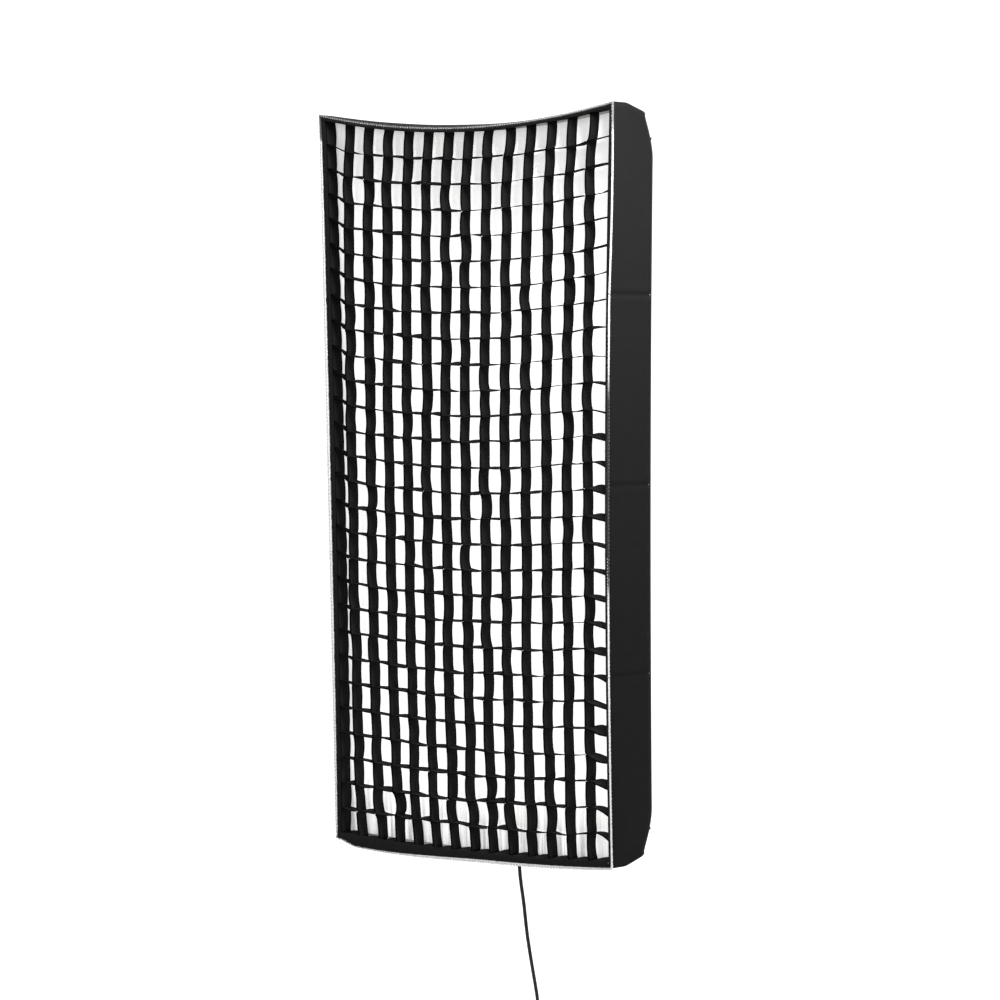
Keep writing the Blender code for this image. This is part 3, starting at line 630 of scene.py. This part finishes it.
def stitches(name, seams, material, body, pitch, half, thick):
    """Stitches along seams: each seam is a list of points and the direction out of the cloth."""
    verts, faces = [], []
    for points, out in seams:
        carried = 0.0
        for a, b in zip(points, points[1:]):
            length = (b - a).length
            at = pitch - carried
            while at < length:
                middle = a.lerp(b, at / length) + out * thick * 0.3
                rice(verts, faces, middle, b - a, out, half, thick)
                at += pitch
            carried = (carried + length) % pitch
    return piece(name, verts, faces, material, body)


def lathe(name, outline, start, direction, sides, material, body, slot=None):
    """Turns an outline of (radius, height) points about a direction from start. Its ends lie on the
    axis."""
    way = Vector(direction).normalized()
    turn = way.to_track_quat("Z", "Y").to_matrix()
    start = Vector(start)
    verts, faces = [start + way * outline[0][1]], []
    for radius, height in outline[1:-1]:
        for k in range(sides):
            angle = 2 * math.pi * k / sides
            around = Vector((radius * math.cos(angle), radius * math.sin(angle), height))
            verts.append(start + turn @ around)
    verts.append(start + way * outline[-1][1])
    last = len(verts) - 1
    for k in range(sides):
        n = (k + 1) % sides
        faces.append((0, 1 + k, 1 + n))
        for r in range(len(outline) - 3):
            low, high = 1 + r * sides, 1 + (r + 1) * sides
            faces.append((low + n, low + k, high + k, high + n))
        faces.append((last, last - sides + n, last - sides + k))
    return piece(name, verts, faces, material, body, slot)


# The lead


def spline_points(knots, count):
    """count + 1 even points on the smooth curve through the knots (Catmull-Rom, ends repeated)."""
    knots = [Vector(k) for k in knots]
    knots = [2 * knots[0] - knots[1], *knots, 2 * knots[-1] - knots[-2]]
    fine = []
    for p0, p1, p2, p3 in zip(knots, knots[1:], knots[2:], knots[3:]):
        for i in range(40):
            t = i / 40
            bend = (2 * p0 - 5 * p1 + 4 * p2 - p3) * t * t + (3 * p1 - p0 - 3 * p2 + p3) * t**3
            fine.append(0.5 * (2 * p1 + (p2 - p0) * t + bend))
    fine.append(knots[-2])
    lengths = [0.0]
    for a, b in zip(fine, fine[1:]):
        lengths.append(lengths[-1] + (b - a).length)
    points, k = [], 0
    for i in range(count + 1):
        want = lengths[-1] * i / count
        while k < len(lengths) - 2 and lengths[k + 1] < want:
            k += 1
        points.append(fine[k].lerp(fine[k + 1], (want - lengths[k]) / (lengths[k + 1] - lengths[k])))
    return points


COIL_TURNS_FROM, COIL_TURNS_TO = 172, 172 + 4 * 360 + 14  # degrees round the coil, from +Y
BUNDLE_R, BUNDLE_FROM, BUNDLE_LAY = 0.0056, 135, 65  # where a turn lies in the bundle's section


def coil_point(angle):
    """A point of the coil: each turn lies beside the last one, round the bundle's middle."""
    lay = math.radians(BUNDLE_FROM + BUNDLE_LAY * (angle - COIL_TURNS_FROM) / 360)
    radius = COIL_R + BUNDLE_R * math.sin(lay)
    turn = math.radians(angle)
    offset = Vector((BUNDLE_R * math.cos(lay), radius * math.cos(turn), radius * math.sin(turn)))
    return COIL_CENTRE + offset


def round_coil(angle):
    """Outward and along the coil at an angle."""
    turn = math.radians(angle)
    outward = Vector((0, math.cos(turn), math.sin(turn)))
    return outward, Vector((0, -outward.z, outward.y))


def lead():
    seat = settle(0, BACK, -0.200)
    exit_point = Vector((0, seat.y + sum(BOX_STANDS) / 2, seat.z - 0.032 - RELIEF_LENGTH - GAP))
    route = [
        exit_point,
        exit_point - Vector((0, 0, 0.030)),
        (0.0020, -0.2450, -0.320),
        (0.0070, -0.2460, -0.440),
        (0.0100, -0.2458, -0.548),
        (0.0100, -0.2336, -0.612),
        (0.0100, -0.2255, -0.659),
        (0.0100, -0.2163, -0.698),
        (0.0100, -0.2076, -0.731),
        (0.0100, -0.1985, -0.765),
        (0.0100, -0.1955, -0.785),
        (0.0092, -0.2000, -0.800),
        (0.0078, -0.2120, -0.822),
        coil_point(COIL_TURNS_FROM),
    ]
    run = spline_points(route, 39)
    turns = [coil_point(angle) for angle in range(COIL_TURNS_FROM + 10, COIL_TURNS_TO, 10)]
    outward, around = round_coil(CONNECTOR_ANGLE)
    top = COIL_CENTRE + (COIL_R + 0.0113) * outward
    down = (0.8 * around + 0.6 * outward).normalized()
    tail = spline_points([turns[-2], turns[-1], top - 0.006 * down, top + 0.004 * down], 6)[2:]
    points = run + turns[:-1] + tail
    curve = bpy.data.curves.new("lead_cord", "CURVE")
    curve.dimensions, curve.bevel_depth, curve.bevel_resolution = "3D", LEAD_R, 4
    curve.use_fill_caps = True
    spline = curve.splines.new("POLY")
    spline.points.add(len(points) - 1)
    for point, place in zip(spline.points, points):
        point.co = (*place, 1)
    spline.use_smooth = True
    curve.materials.append(RUBBER)
    cord = put("lead_cord", curve)
    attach(cord, "mat_frame")
    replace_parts(cord, "lead_run", "lead_coil")
    tie = lead_tie()
    strain_relief(exit_point)


def strain_relief(exit_point):
    """A tapered sleeve with ribs that let it bend, and a collar against the box."""
    mouth = exit_point + Vector((0, 0, RELIEF_LENGTH + GAP))
    outline = [(0, 0.0064), (0.0068, 0.0064), (0.0074, 0.0058), (0.0074, 0.0026), (0.0054, 0.0024)]
    outline += [(0.0054, -0.0002), (0.0073, -0.0005), (0.0076, -0.0012)]
    outline += [(0.0074, -0.0052), (0.0068, -0.0060)]
    ribs = 7
    for i in range(ribs):
        share = i / ribs
        top = -0.0068 - (RELIEF_LENGTH - 0.0085) * share
        girth = 0.0067 - 0.0022 * share
        outline += [(girth - 0.0009, top), (girth - 0.0009, top - 0.0012), (girth, top - 0.0018)]
        outline += [(girth - 0.0001, top - 0.0032)]
    tip = -RELIEF_LENGTH
    outline += [(0.0041, tip), (0.0032, tip - 0.0002), (0, tip + 0.0002)]
    up = (0, 0, 1)
    relief = lathe("strain_relief_sleeve", outline, mouth, up, 28, RUBBER, "mat_frame", "lead_rubber")
    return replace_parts(relief, "strain_relief")


def lead_tie():
    """A hook-and-loop strap round the coil, with its tail lapped over it."""
    outward, around = round_coil(TIE_ANGLE)
    centre = COIL_CENTRE + COIL_R * outward
    sideways = Vector((1, 0, 0))
    wrap = steps(-0.10, 1.16, 58)

    def place(a, b):
        turn = 2 * math.pi * a
        lap = 0.0013 * smooth(0.98, 1.08, a)
        radius = 0.0097 + 0.0006 * math.cos(2 * turn) + lap
        radius += 0.0002 * math.sin(5 * turn + 300 * b)
        return centre + radius * (math.cos(turn) * sideways + math.sin(turn) * outward) + b * around

    width = steps(-0.006, 0.006, 6)
    strap = cloth("lead_tie_strap", wrap, width, place, 0.0009, HOOK_BAND, "mat_frame", "black_fabric")
    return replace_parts(strap, "lead_tie")


# The skirt


FOLDS = (-0.5, 0.0, 0.5)  # of the half height
BESIDE_A_FOLD = (-0.012, -0.008, -0.005, -0.0025, 0, 0.0025, 0.005, 0.008, 0.012)


def near_folds(v, width, beside=0.0):
    """1 at a fold, or beside one, and falling off over a width."""
    return sum(math.exp(-(((abs(v - fold) * HALF_H - beside) / width) ** 2)) for fold in FOLDS)


def wall_bulge(z, depth, seed):
    """How far the outer cloth stands off its boards: pillowed between folds, nipped in at each."""
    nip, lip = near_folds(z / HALF_H, 0.0032), near_folds(z / HALF_H, 0.006, 0.009)
    edge = math.sin(math.pi * min(max(depth / DEPTH, 0), 1)) ** 0.5
    soft = noise_at(z * 6, depth * 14, seed) * 0.0009
    ripple = noise_at(z * 30, depth * 20, seed + 5) * 0.0004
    return 0.0001 + edge * (0.0003 + soft + ripple) + 0.0013 * lip - 0.0019 * nip


def fold_lines(count):
    """Even lines up the wall, with more at the folds."""
    folds = [fold * HALF_H for fold in FOLDS]
    close = [z + step for z in folds for step in BESIDE_A_FOLD]
    even = [z for z in steps(-HALF_H, HALF_H, count) if all(abs(z - fold) > 0.013 for fold in folds)]
    return sorted(even + close)


def panel(word, first, second, place, turn):
    finish = (SHELL, SKIRT_CLOTH, "skirt", "black_fabric")
    wall = cloth(f"skirt_{word}_cloth", first, second, place, *finish, turn=turn)
    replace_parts(wall, f"skirt_{word}_panel")


def skirt():
    depths = steps(WALL_FRONT - 0.0009, DEPTH, 14)
    uprights = fold_lines(132)
    for side, word in ((-1, "left"), (1, "right")):

        def place(y, z, side=side):
            out = wall_bulge(z, y, 3.0 * side)
            out += swell(z / HALF_H) * (1 - smooth(0.0, 0.060, y)) * (side > 0)
            return settle(side * (HALF_W - SHELL / 2), y, z) + Vector((side * out, 0, 0))

        panel(word, depths, uprights, place, side < 0)
        lining(word, side, True)
    levels = steps(-(HALF_W - WALL - GAP), HALF_W - WALL - GAP, 60)
    levels = [-HALF_W + 0.0012, *levels[1:-1], HALF_W - 0.0012]
    for end, word in ((-1, "bottom"), (1, "top")):

        def place(x, y, end=end):
            out = 0.0004 + 0.0010 * (noise_at(x * 9, y * 12, 7.0 * end) + 0.5)
            out += droop(x / HALF_W) * (1 - smooth(0.0, 0.045, y)) * (end < 0)
            lift = end * out * (1 - (x / HALF_W) ** 8)
            return settle(x, y, end * (HALF_H - SHELL / 2)) + Vector((0, 0, lift))

        panel(word, levels, depths, place, end > 0)
        lining(word, end, False)


def lining(word, side, upright):
    """Crinkled silver cloth on the inside of a wall."""
    depths = steps(WALL_FRONT + 0.0005, DEPTH - 0.0005, 10)
    inset = LINING_INSET + LINING / 2

    def beside(y, z):
        slack = 0.0003 * (1 + noise_at(z * 18, y * 30, 2.0 * side))
        return settle(side * (HALF_W - inset - slack), y, z)

    def across(x, y):
        slack = 0.0003 * (1 + noise_at(x * 18, y * 30, 4.0 * side))
        return settle(x, y, side * (HALF_H - inset - slack))

    if upright:
        lines, place, flip = (depths, steps(-(HALF_H - 0.0005), HALF_H - 0.0005, 110)), beside, side > 0
    else:
        reach = HALF_W - WALL - 0.0008
        lines, place, flip = (steps(-reach, reach, 54), depths), across, side < 0
    finish = (LINING * 0.8, SILVER_CLOTH, "skirt", "silver_lining")
    made = cloth(f"{word}_lining_cloth", *lines, place, *finish, turn=flip)
    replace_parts(made, f"{word}_lining")


def droop(u):
    """How far the front's lower edge hangs below the boards, most of all near its left end."""
    return 0.0085 * smooth(-1, -0.8, u) * (1 - smooth(-0.75, 0.15, u)) + 0.0018 * (1 - u * u)


def swell(v):
    """How far the right front edge stands out above the upper fold."""
    return 0.0026 * math.sin(math.pi * min(max((v - 0.5) / 0.5, 0), 1))


def edge_insets(side, t):
    """The tape's outer edge, the line where the tape meets the flange, and the border strip."""
    round_off = math.sqrt(1 - t * t)
    if side == 0:
        low = droop(t)
        shown = 0.0012 + 0.0028 * smooth(-0.85, -0.1, t)
        return -shown * round_off**0.4 - low, 0.0008 - low, GRID_EDGE
    if side == 1:
        out = swell(t)
        return -out, 0.0022 - out, 0.0052
    if side == 2:
        return 0.0, 0.0026, 0.0066
    return 0.0, 0.0036 + 0.0036 * round_off, left_edge(-t)


def left_edge(v):
    return GRID_EDGE + 0.0010 + 0.0040 * math.sqrt(1 - v * v)


def rims():
    """The pale tape sewn over the front edge, its stitches, and the loop band inside the rear edge."""

    def tape_section(side, t):
        outer, inner, _ = edge_insets(side, t)
        along = t * (HALF_W, HALF_H)[side % 2]
        outline = [(outer, 0.0026), (outer - 0.0003, 0.0012), (outer, 0.0001), (outer + 0.0008, -0.0004)]
        outline += [(inner - 0.0008, -0.0004), (inner, 0.0001), (inner, 0.0016)]
        outline += [(inner - 0.0003, 0.0028), (outer + 0.0005, 0.0029)]
        puckered = []
        for k, (inset, y) in enumerate(outline):
            wave = noise_at(along * 160, side * 9.0, k * 0.35)
            lift = noise_at(along * 210, side * 5.0, 40 + k)
            puckered.append((inset + 0.0006 * wave, y + 0.0003 * lift))
        return puckered

    tape = rim_band("rim_binding_tape", tape_section, TAPE_PALE, "skirt", "rim_binding", 4)
    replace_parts(tape, "rim_binding")
    pale, grey, dark = [], [], []
    for side in range(4):
        ts = steps(-0.992, 0.992, RIM_STEPS[side])
        middles = [sum(edge_insets(side, t)[:2]) / 2 for t in ts]
        seam = [rim_point(side, t, inset, -0.0005) for t, inset in zip(ts, middles)]
        if side == 1:
            low, high = int(0.42 * len(seam)), int(0.71 * len(seam))
            pale += [(seam[:low], FORWARD), (seam[high:], FORWARD)]
            dark.append((seam[low:high], FORWARD))
        else:
            (pale if side == 2 else grey).append((seam, FORWARD))
        out = ((0, 0, -1), (1, 0, 0), (0, 0, 1), (-1, 0, 0))[side]
        outers = [edge_insets(side, t)[0] for t in ts]
        seam = [rim_point(side, t, inset - 0.0004, 0.0014) for t, inset in zip(ts, outers)]
        grey.append((seam, Vector(out)))
    stitches("rim_stitches", grey, THREAD_GREY, "skirt", 0.0060, 0.0020, 0.00050)
    stitches("rim_dark_stitches", dark, THREAD_DARK, "skirt", 0.0060, 0.0020, 0.00050)
    stitches("rim_pale_stitches", pale, THREAD_PALE, "skirt", 0.0050, 0.0012, 0.00055)
    inner, outer, y = WALL + 0.0250, WALL + 0.0012, DEPTH - 0.0020
    section = [(outer, y - 0.0006), (inner, y - 0.0006), (inner, y + 0.0006), (outer, y + 0.0006)]
    hem = rim_band("rear_hem_band", lambda side, t: section, HOOK_BAND, "skirt", "black_fabric")
    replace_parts(hem, "rear_hem")


# Diffuser and grid


def diffuser():
    half_w = HALF_W - WALL - DIFFUSER_ROOM[0]
    half_h = HALF_H - WALL - DIFFUSER_ROOM[1]

    def place(x, z):
        fold = 0.0007 * noise_at(x * 26, z * 1.7, 3.3)
        rim = 1 - max(abs(x) / half_w, abs(z) / half_h) ** 6
        return settle(x, DIFFUSER_AT + fold * rim, z)

    levels, uprights = steps(-half_w, half_w, 96), steps(-half_h, half_h, 96)
    finish = (0.0006, DIFFUSER_CLOTH, "diffuser", "white_fabric")
    sheet = cloth("diffuser_cloth", levels, uprights, place, *finish)
    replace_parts(sheet, "diffuser")


def kink(t):
    """Rises fast from 0 beside a crossing to 1 along the cell."""
    return smooth(0, 0.16, t) * smooth(0, 0.16, 1 - t)


class Slack:
    """The random give of the grid: where each crossing has slipped, and how each length of ribbon
    between two crossings bows, at its front and rear edges. The lowest rows are the slackest."""

    def __init__(self, columns, rows):
        def field(spread):
            loose = [1.5 if j < 3 else 1.0 for j in range(rows + 1)]
            return [[rng.gauss(0, spread) * part for part in loose] for _ in range(columns + 1)]

        self.slip_x, self.slip_z = field(0.0006), field(0.0007)
        self.rear_x, self.rear_z = field(0.0006), field(0.0007)
        self.step, self.bow, self.rear_bow = field(0.0009), field(0.0010), field(0.0007)
        self.sag, self.rear_sag, self.curl = field(0.0009), field(0.0011), field(0.0030)


slack = Slack(COLUMNS, ROWS)


def lean(u, v):
    """The ribbons' middles have swung to the left, and their ends stand a little to the right."""
    swing = (1 - smooth(0, 1.1, u)) * (1 - ((v + 0.2) / 1.2) ** 2) * smooth(-1.0, -0.84, v)
    return -0.0075 * swing + 0.0050 * smooth(0.88, 1.0, v) + 0.0015 * smooth(-0.90, -1.0, v)


def border_lift(v):
    """How far a row's front edge is drawn up beside the left border strip."""
    return 0.0130 * smooth(-0.9, 0.1, v) * (1 - 0.5 * smooth(0.6, 1.0, v))


def border_drop(v):
    """How far a row sinks beside the right border strip."""
    return 0.0135 * (1 - smooth(0.15, 0.60, v)) * smooth(-1.1, -0.85, v)


def crossing(i, j, depth):
    """x, y and z of the crossing of column i and row j, flat, at depth 0 (front) to 1 (rear)."""
    x, z = GRID_W * (2 * i / COLUMNS - 1), GRID_H * (2 * j / ROWS - 1)
    u, v = x / GRID_W, z / GRID_H
    if 0 < i < COLUMNS:
        x += lean(u, v)
    if 0 < i < COLUMNS and 0 < j < ROWS:
        x += slack.slip_x[i][j] + depth * slack.rear_x[i][j]
        z += slack.slip_z[i][j] + depth * slack.rear_z[i][j]
    if i == 0:
        x = -HALF_W + left_edge(v) + 0.0008 * depth
    if i == COLUMNS:
        x += 0.0043
        z -= border_drop(v) if 0 < j < ROWS else 0
    if j == 0:
        lower = 0.0030 * (1 - depth) * (1 - smooth(-1.0, -0.2, u))
        z += 0.0012 * depth - min(0.6 * droop(u), 0.0042) - lower
    if j == ROWS:
        z += 0.0028
    return Vector((x, GRID_FRONT + RIBBON_DEPTH * depth, z))


def upright_point(i, s, depth):
    j = min(int(s), ROWS - 1)
    t = s - j
    at = crossing(i, j, depth).lerp(crossing(i, j + 1, depth), t)
    amount = 1.0 if 0 < i < COLUMNS else 0.3 * depth
    at.x += amount * kink(t) * slack.step[i][j]
    at.x += amount * math.sin(math.pi * t) * (slack.bow[i][j] + depth * slack.rear_bow[i][j])
    if i == 0:
        at.x += 0.0016 * depth * math.sin(math.pi * t)
    return settle(*at)


def crosser_point(j, s, depth):
    i = min(int(s), COLUMNS - 1)
    t = s - i
    first, second = crossing(i, j, depth), crossing(i + 1, j, depth)
    at = first.lerp(second, t)
    hang = math.sin(math.pi * t)
    inner = 0 < j < ROWS
    if i == 0 and inner:
        lift = border_lift(2 * j / ROWS - 1) * (1 - 0.85 * depth)
        at.z += lift * (1 - smooth(0.40, 1.0, t))
    if i == COLUMNS - 1 and inner:
        bend = min(max(1.3 + 150 * slack.curl[i][j], 0.7), 2.4)
        at.z = first.z + (second.z - first.z) * t ** (bend + 0.9 * depth)
        at.z += hang * slack.curl[i - 1][j] * (0.5 - depth)
    at.z += hang * (slack.sag[i][j] + depth * slack.rear_sag[i][j]) * (1 if inner else 0.5 * depth)
    if j == 0:
        at.z += 0.0030 * depth * hang
    return settle(*at)


def ribbons(name, lines, length, point, cells):
    """Joins the strips at lines into one piece. length is a strip's flat length."""
    verts, flat, faces = [], [], []
    across = 4
    count = cells * STEPS_PER_CELL
    for order, line in enumerate(lines):
        base = len(verts)
        for a in range(count + 1):
            for b in range(across + 1):
                verts.append(point(line, a / STEPS_PER_CELL, b / across))
                flat.append((RIBBON_DEPTH * b / across + STRIP_SPACING * order, length * a / count))
        for a in range(count):
            for b in range(across):
                low = base + a * (across + 1) + b
                high = low + across + 1
                faces.append((low, low + 1, high + 1, high))
    obj = piece(name, verts, faces, GRID_CLOTH, "grid", "black_fabric", flat, RIBBON)
    return obj


def grid():
    uprights = ribbons("grid_uprights", range(COLUMNS + 1), 2 * GRID_H, upright_point, ROWS)
    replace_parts(uprights, "egg_crate_grid")
    ribbons("grid_crossers", range(ROWS + 1), 2 * GRID_W, crosser_point, COLUMNS)

    def flange_section(side, t):
        _, outer, inner = edge_insets(side, t)
        half = (HALF_W, HALF_H)[side % 2]
        ragged = 0.0012 * noise_at(t * half / 0.0032, side * 3.0, 0.5)
        if side % 2:
            ragged -= 0.0030 * near_folds(t, 0.0020)
        outer += 0.0002 + ragged
        inner += 0.0012
        wave = 0.0002 * noise_at(t * half / 0.004, side * 3.0, 8.5)
        outline = [(outer, 0.0002), (outer + 0.0010, -0.0004 + wave), (inner, -0.0002 + wave)]
        return outline + [(inner, 0.0014), (outer + 0.0010, 0.0016), (outer, 0.0012)]

    rim_band("grid_flange", flange_section, HOOK_BAND, "grid", "black_fabric", 6)
    overlock()
    knots()


def overlock():
    """The thread that whips the flange's outer edge."""
    verts, faces = [], []
    for side in range(4):
        count = 190 if side % 2 == 0 else 380
        inward = Vector(((0, 0, 1), (-1, 0, 0), (0, 0, -1), (1, 0, 0))[side])
        for t in steps(-0.99, 0.99, count):
            edge = edge_insets(side, t)[1]
            along = rim_point(side, t + 0.001, edge, 0) - rim_point(side, t, edge, 0)
            way = inward + along.normalized() * rng.uniform(-0.35, 0.35)
            at = rim_point(side, t, edge + rng.uniform(-0.0004, 0.0006), -0.0003)
            rice(verts, faces, at, way, FORWARD, 0.0016, 0.00042)
    piece("flange_overlock", verts, faces, THREAD_DARK, "grid")


KNOT_SHARE = 0.34  # of the crossings show a thread's end


def knots():
    """Pale thread ends that show at some crossings."""
    verts, faces = [], []
    for i in range(1, COLUMNS):
        for j in range(1, ROWS):
            if rng.random() >= KNOT_SHARE:
                continue
            at = crossing(i, j, 0)
            at.x += rng.uniform(-0.002, 0.002)
            way = Vector((rng.uniform(-1, 1), 0.2, rng.uniform(-1, 1)))
            middle = settle(*at) + 0.0004 * FORWARD
            rice(verts, faces, middle, way, FORWARD, rng.uniform(0.0008, 0.0018), 0.0005)
    piece("grid_thread_ends", verts, faces, THREAD_PALE, "grid")


# Light mat


LED_PITCH = 0.020


def mat():
    half_w, half_h = HALF_W - MAT_INSET, HALF_H - MAT_INSET
    levels, uprights = steps(-half_w, half_w, 48), steps(-half_h, half_h, 96)
    middle = MAT_FRONT + MAT / 2
    finish = (MAT * 0.96, LED_FACE, "mat_frame", "led_mat_face")
    face = cloth("led_mat_sheet", levels, uprights, lambda x, z: settle(x, middle, z), *finish)
    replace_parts(face, "led_mat")
    chips()

    def back_place(x, z):
        quilt = 0.0006 * (1 - abs(math.sin(math.pi * x / 0.149)) ** 0.25) * (abs(x) < 0.26)
        soft = 0.0005 * noise_at(x * 9, z * 9, 1.0)
        nip = near_folds(z / HALF_H, 0.004)
        return settle(x, BACK - BACKING / 2, z) + Vector((0, 0.0007 + soft - quilt - 0.0006 * nip, 0))

    rows = [min(max(z, -half_h), half_h) for z in fold_lines(108)]
    finish = (0.0010, BACK_CLOTH, "mat_frame", "black_fabric")
    back = cloth("mat_back_cloth", steps(-half_w, half_w, 80), rows, back_place, *finish, turn=True)
    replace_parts(back, "mat_back_cover")
    edge_tape()


def chips():
    """Rows of light-emitting chips: a white package with its phosphor window, stood proud of the mat."""
    bodies, windows = ([], []), ([], [])
    half = Vector((0.0016, 0.0008, 0.0014))
    across, up = int(0.28 / LED_PITCH), int(0.58 / LED_PITCH)
    for i in range(-across, across + 1):
        for j in range(-up, up + 1):
            centre = settle(i * LED_PITCH, MAT_FRONT - 0.0002, j * LED_PITCH)
            block(bodies, centre, half)
            window = Vector((half.x * 0.72, half.y * 0.30, half.z * 0.72))
            block(windows, centre - Vector((0, half.y, 0)), window)
    piece("led_packages", *bodies, LED_FACE, "mat_frame", "led_mat_face")
    piece("led_windows", *windows, PHOSPHOR, "mat_frame")


def block(made, centre, half):
    verts, faces = made
    base = len(verts)
    for y, shrink in ((half.y, 1.0), (-half.y * 0.6, 1.0), (-half.y, 0.86)):
        for sx, sz in ((-1, -1), (1, -1), (1, 1), (-1, 1)):
            verts.append(centre + Vector((sx * half.x * shrink, y, sz * half.z * shrink)))
    faces.append((base, base + 1, base + 2, base + 3))
    faces.append((base + 11, base + 10, base + 9, base + 8))
    for ring in (0, 4):
        for k in range(4):
            n = (k + 1) % 4
            faces.append((base + ring + n, base + ring + k, base + ring + 4 + k, base + ring + 4 + n))


def edge_tape():
    """Black tape bound over the mat's edge, with a row of stitches, and sewn channels up the back."""
    front, back = BACK - BACKING - 0.0002, BACK + 0.0010
    profile = [
        (MAT_INSET - 0.0008, front - 0.0022),
        (MAT_INSET - 0.0008, back - 0.0004),
        (MAT_INSET + 0.0004, back + 0.0004),
        (MAT_INSET + 0.0150, back + 0.0004),
        (MAT_INSET + 0.0156, back - 0.0002),
        (MAT_INSET + 0.0150, back - 0.0008),
        (MAT_INSET + 0.0004, back - 0.0010),
        (MAT_INSET + 0.0001, front - 0.0022),
    ]
    rim_band("mat_edge_tape", lambda side, t: profile, TAPE_BLACK, "mat_frame", "black_fabric", 2)
    seams = []
    for inset in (0.0030, 0.0138):
        for side in range(4):
            ts = steps(-0.99, 0.99, RIM_STEPS[side])
            seam = [rim_point(side, t, MAT_INSET + inset, back + 0.0005) for t in ts]
            seams.append((seam, REARWARD))
    for x in (-0.149, 0.0, 0.149):
        seams.append(([settle(x, BACK + 0.0002, z) for z in steps(-0.575, 0.575, 90)], REARWARD))
    stitches("mat_stitches", seams, THREAD_DARK, "mat_frame", 0.0050, 0.0018, 0.0004)


def pockets():
    """Corner pockets over the arm tips: an arch of cloth with a taped mouth and crossed stitching."""
    length, half, rise = 0.078, 0.034, 0.0172
    seams = []
    for side, level in ((-1, "left"), (1, "right")):
        for end, height in ((-1, "lower"), (1, "upper")):
            corner = Vector((side * POCKET_AT[0], end * POCKET_AT[1]))
            toward = corner.normalized()
            sideways = Vector((-toward.y, toward.x))

            def place(a, b, lift=0.0, corner=corner, toward=toward, sideways=sideways):
                flat = corner + toward * (a - 0.060) + sideways * b
                open_end = min(1, (length - a) / 0.024) ** 0.7
                arch = math.cos(min(abs(b) / (half * 0.62), 1) * math.pi / 2) ** 0.8
                slump = 1 + 0.05 * noise_at(a * 60, b * 60, corner.x * 9)
                lifted = (rise + ARM_SLOPE * max(0, 0.060 - a)) * arch * open_end * slump
                return settle(flat.x, BACK + 0.0016 + lifted + lift, flat.y)

            name = f"pocket_{height}_{level}"
            rows, spread = steps(0, length, 30), steps(-half, half, 34)
            finish = (0.0010, BACK_CLOTH, "mat_frame", "black_fabric")
            made = cloth(f"{name}_cloth", rows, spread, place, *finish, turn=side * end > 0)
            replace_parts(made, name)

            def over(a, b, place=place):
                return place(max(a, 0), b, 0.0009) - Vector((0, 0.0006 * (a < 0), 0))

            finish = (0.0007, TAPE_BLACK, "mat_frame", "black_fabric")
            mouth = cloth(f"{name}_mouth_tape", steps(-0.0012, 0.0090, 6), spread, over, *finish)
            reach = half * 0.95
            lines = []
            for inner in (0.88, 0.76):
                for flank in (-1, 1):
                    along = steps(0.002, length - 0.002, 24)
                    lines.append([place(a, flank * half * inner, 0.0006) for a in along])
            lines.append([place(0.0080, b, 0.0014) for b in steps(-reach, reach, 40)])
            lines.append([place(length - 0.004, b, 0.0006) for b in steps(-reach, reach, 30)])
            seams += [(line, REARWARD) for line in lines]
    stitches("pocket_stitches", seams, THREAD_GREY, "mat_frame", 0.0042, 0.0015, 0.00038)


# Hardware


def dress(name, material, bevel=0.0):
    """Gives a CAD node its finish, and rounds its edges a little."""
    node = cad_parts[name]
    node.data.materials.clear()
    node.data.materials.append(material)
    if not bevel:
        return
    weld = node.modifiers.new("weld", "WELD")
    weld.merge_threshold = 0.00001
    edge = node.modifiers.new("rounded edges", "BEVEL")
    edge.width, edge.segments, edge.angle_limit = bevel, 2, math.radians(38)


def hardware():
    finishes = (
        (ALLOY, 0.0005, ("receiver", "tilt_tongue", "hub_casting", "connector_body")),
        (STEEL, 0.0003, ("tilt_bolt", "rotation_shaft", "connector_ring")),
        (PLASTIC, 0.0005, ("spigot_clamp_knob", "tilt_lock_lever", "rotation_lock_knob")),
        (PLASTIC, 0.0005, ("hub_cap", "junction_box", "junction_lid")),
        (NYLON, 0.0, ("friction_washer",)),
        (CIRCUIT, 0.0, ("junction_board",)),
        (TUBE, 0.0, ("arm_tube",)),
        (STEEL, 0.0, ("arm_rod",)),
        (PLASTIC, 0.0, ("arm_tip",)),
        (BOARD, 0.0, ("left_stiffener", "right_stiffener", "top_stiffener", "bottom_stiffener")),
    )
    for material, bevel, starts in finishes:
        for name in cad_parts:
            if name.startswith(starts):
                dress(name, material, bevel)


camera()
lead()
studio()
floor()
skirt()
rims()
diffuser()
grid()
mat()
pockets()
hardware()
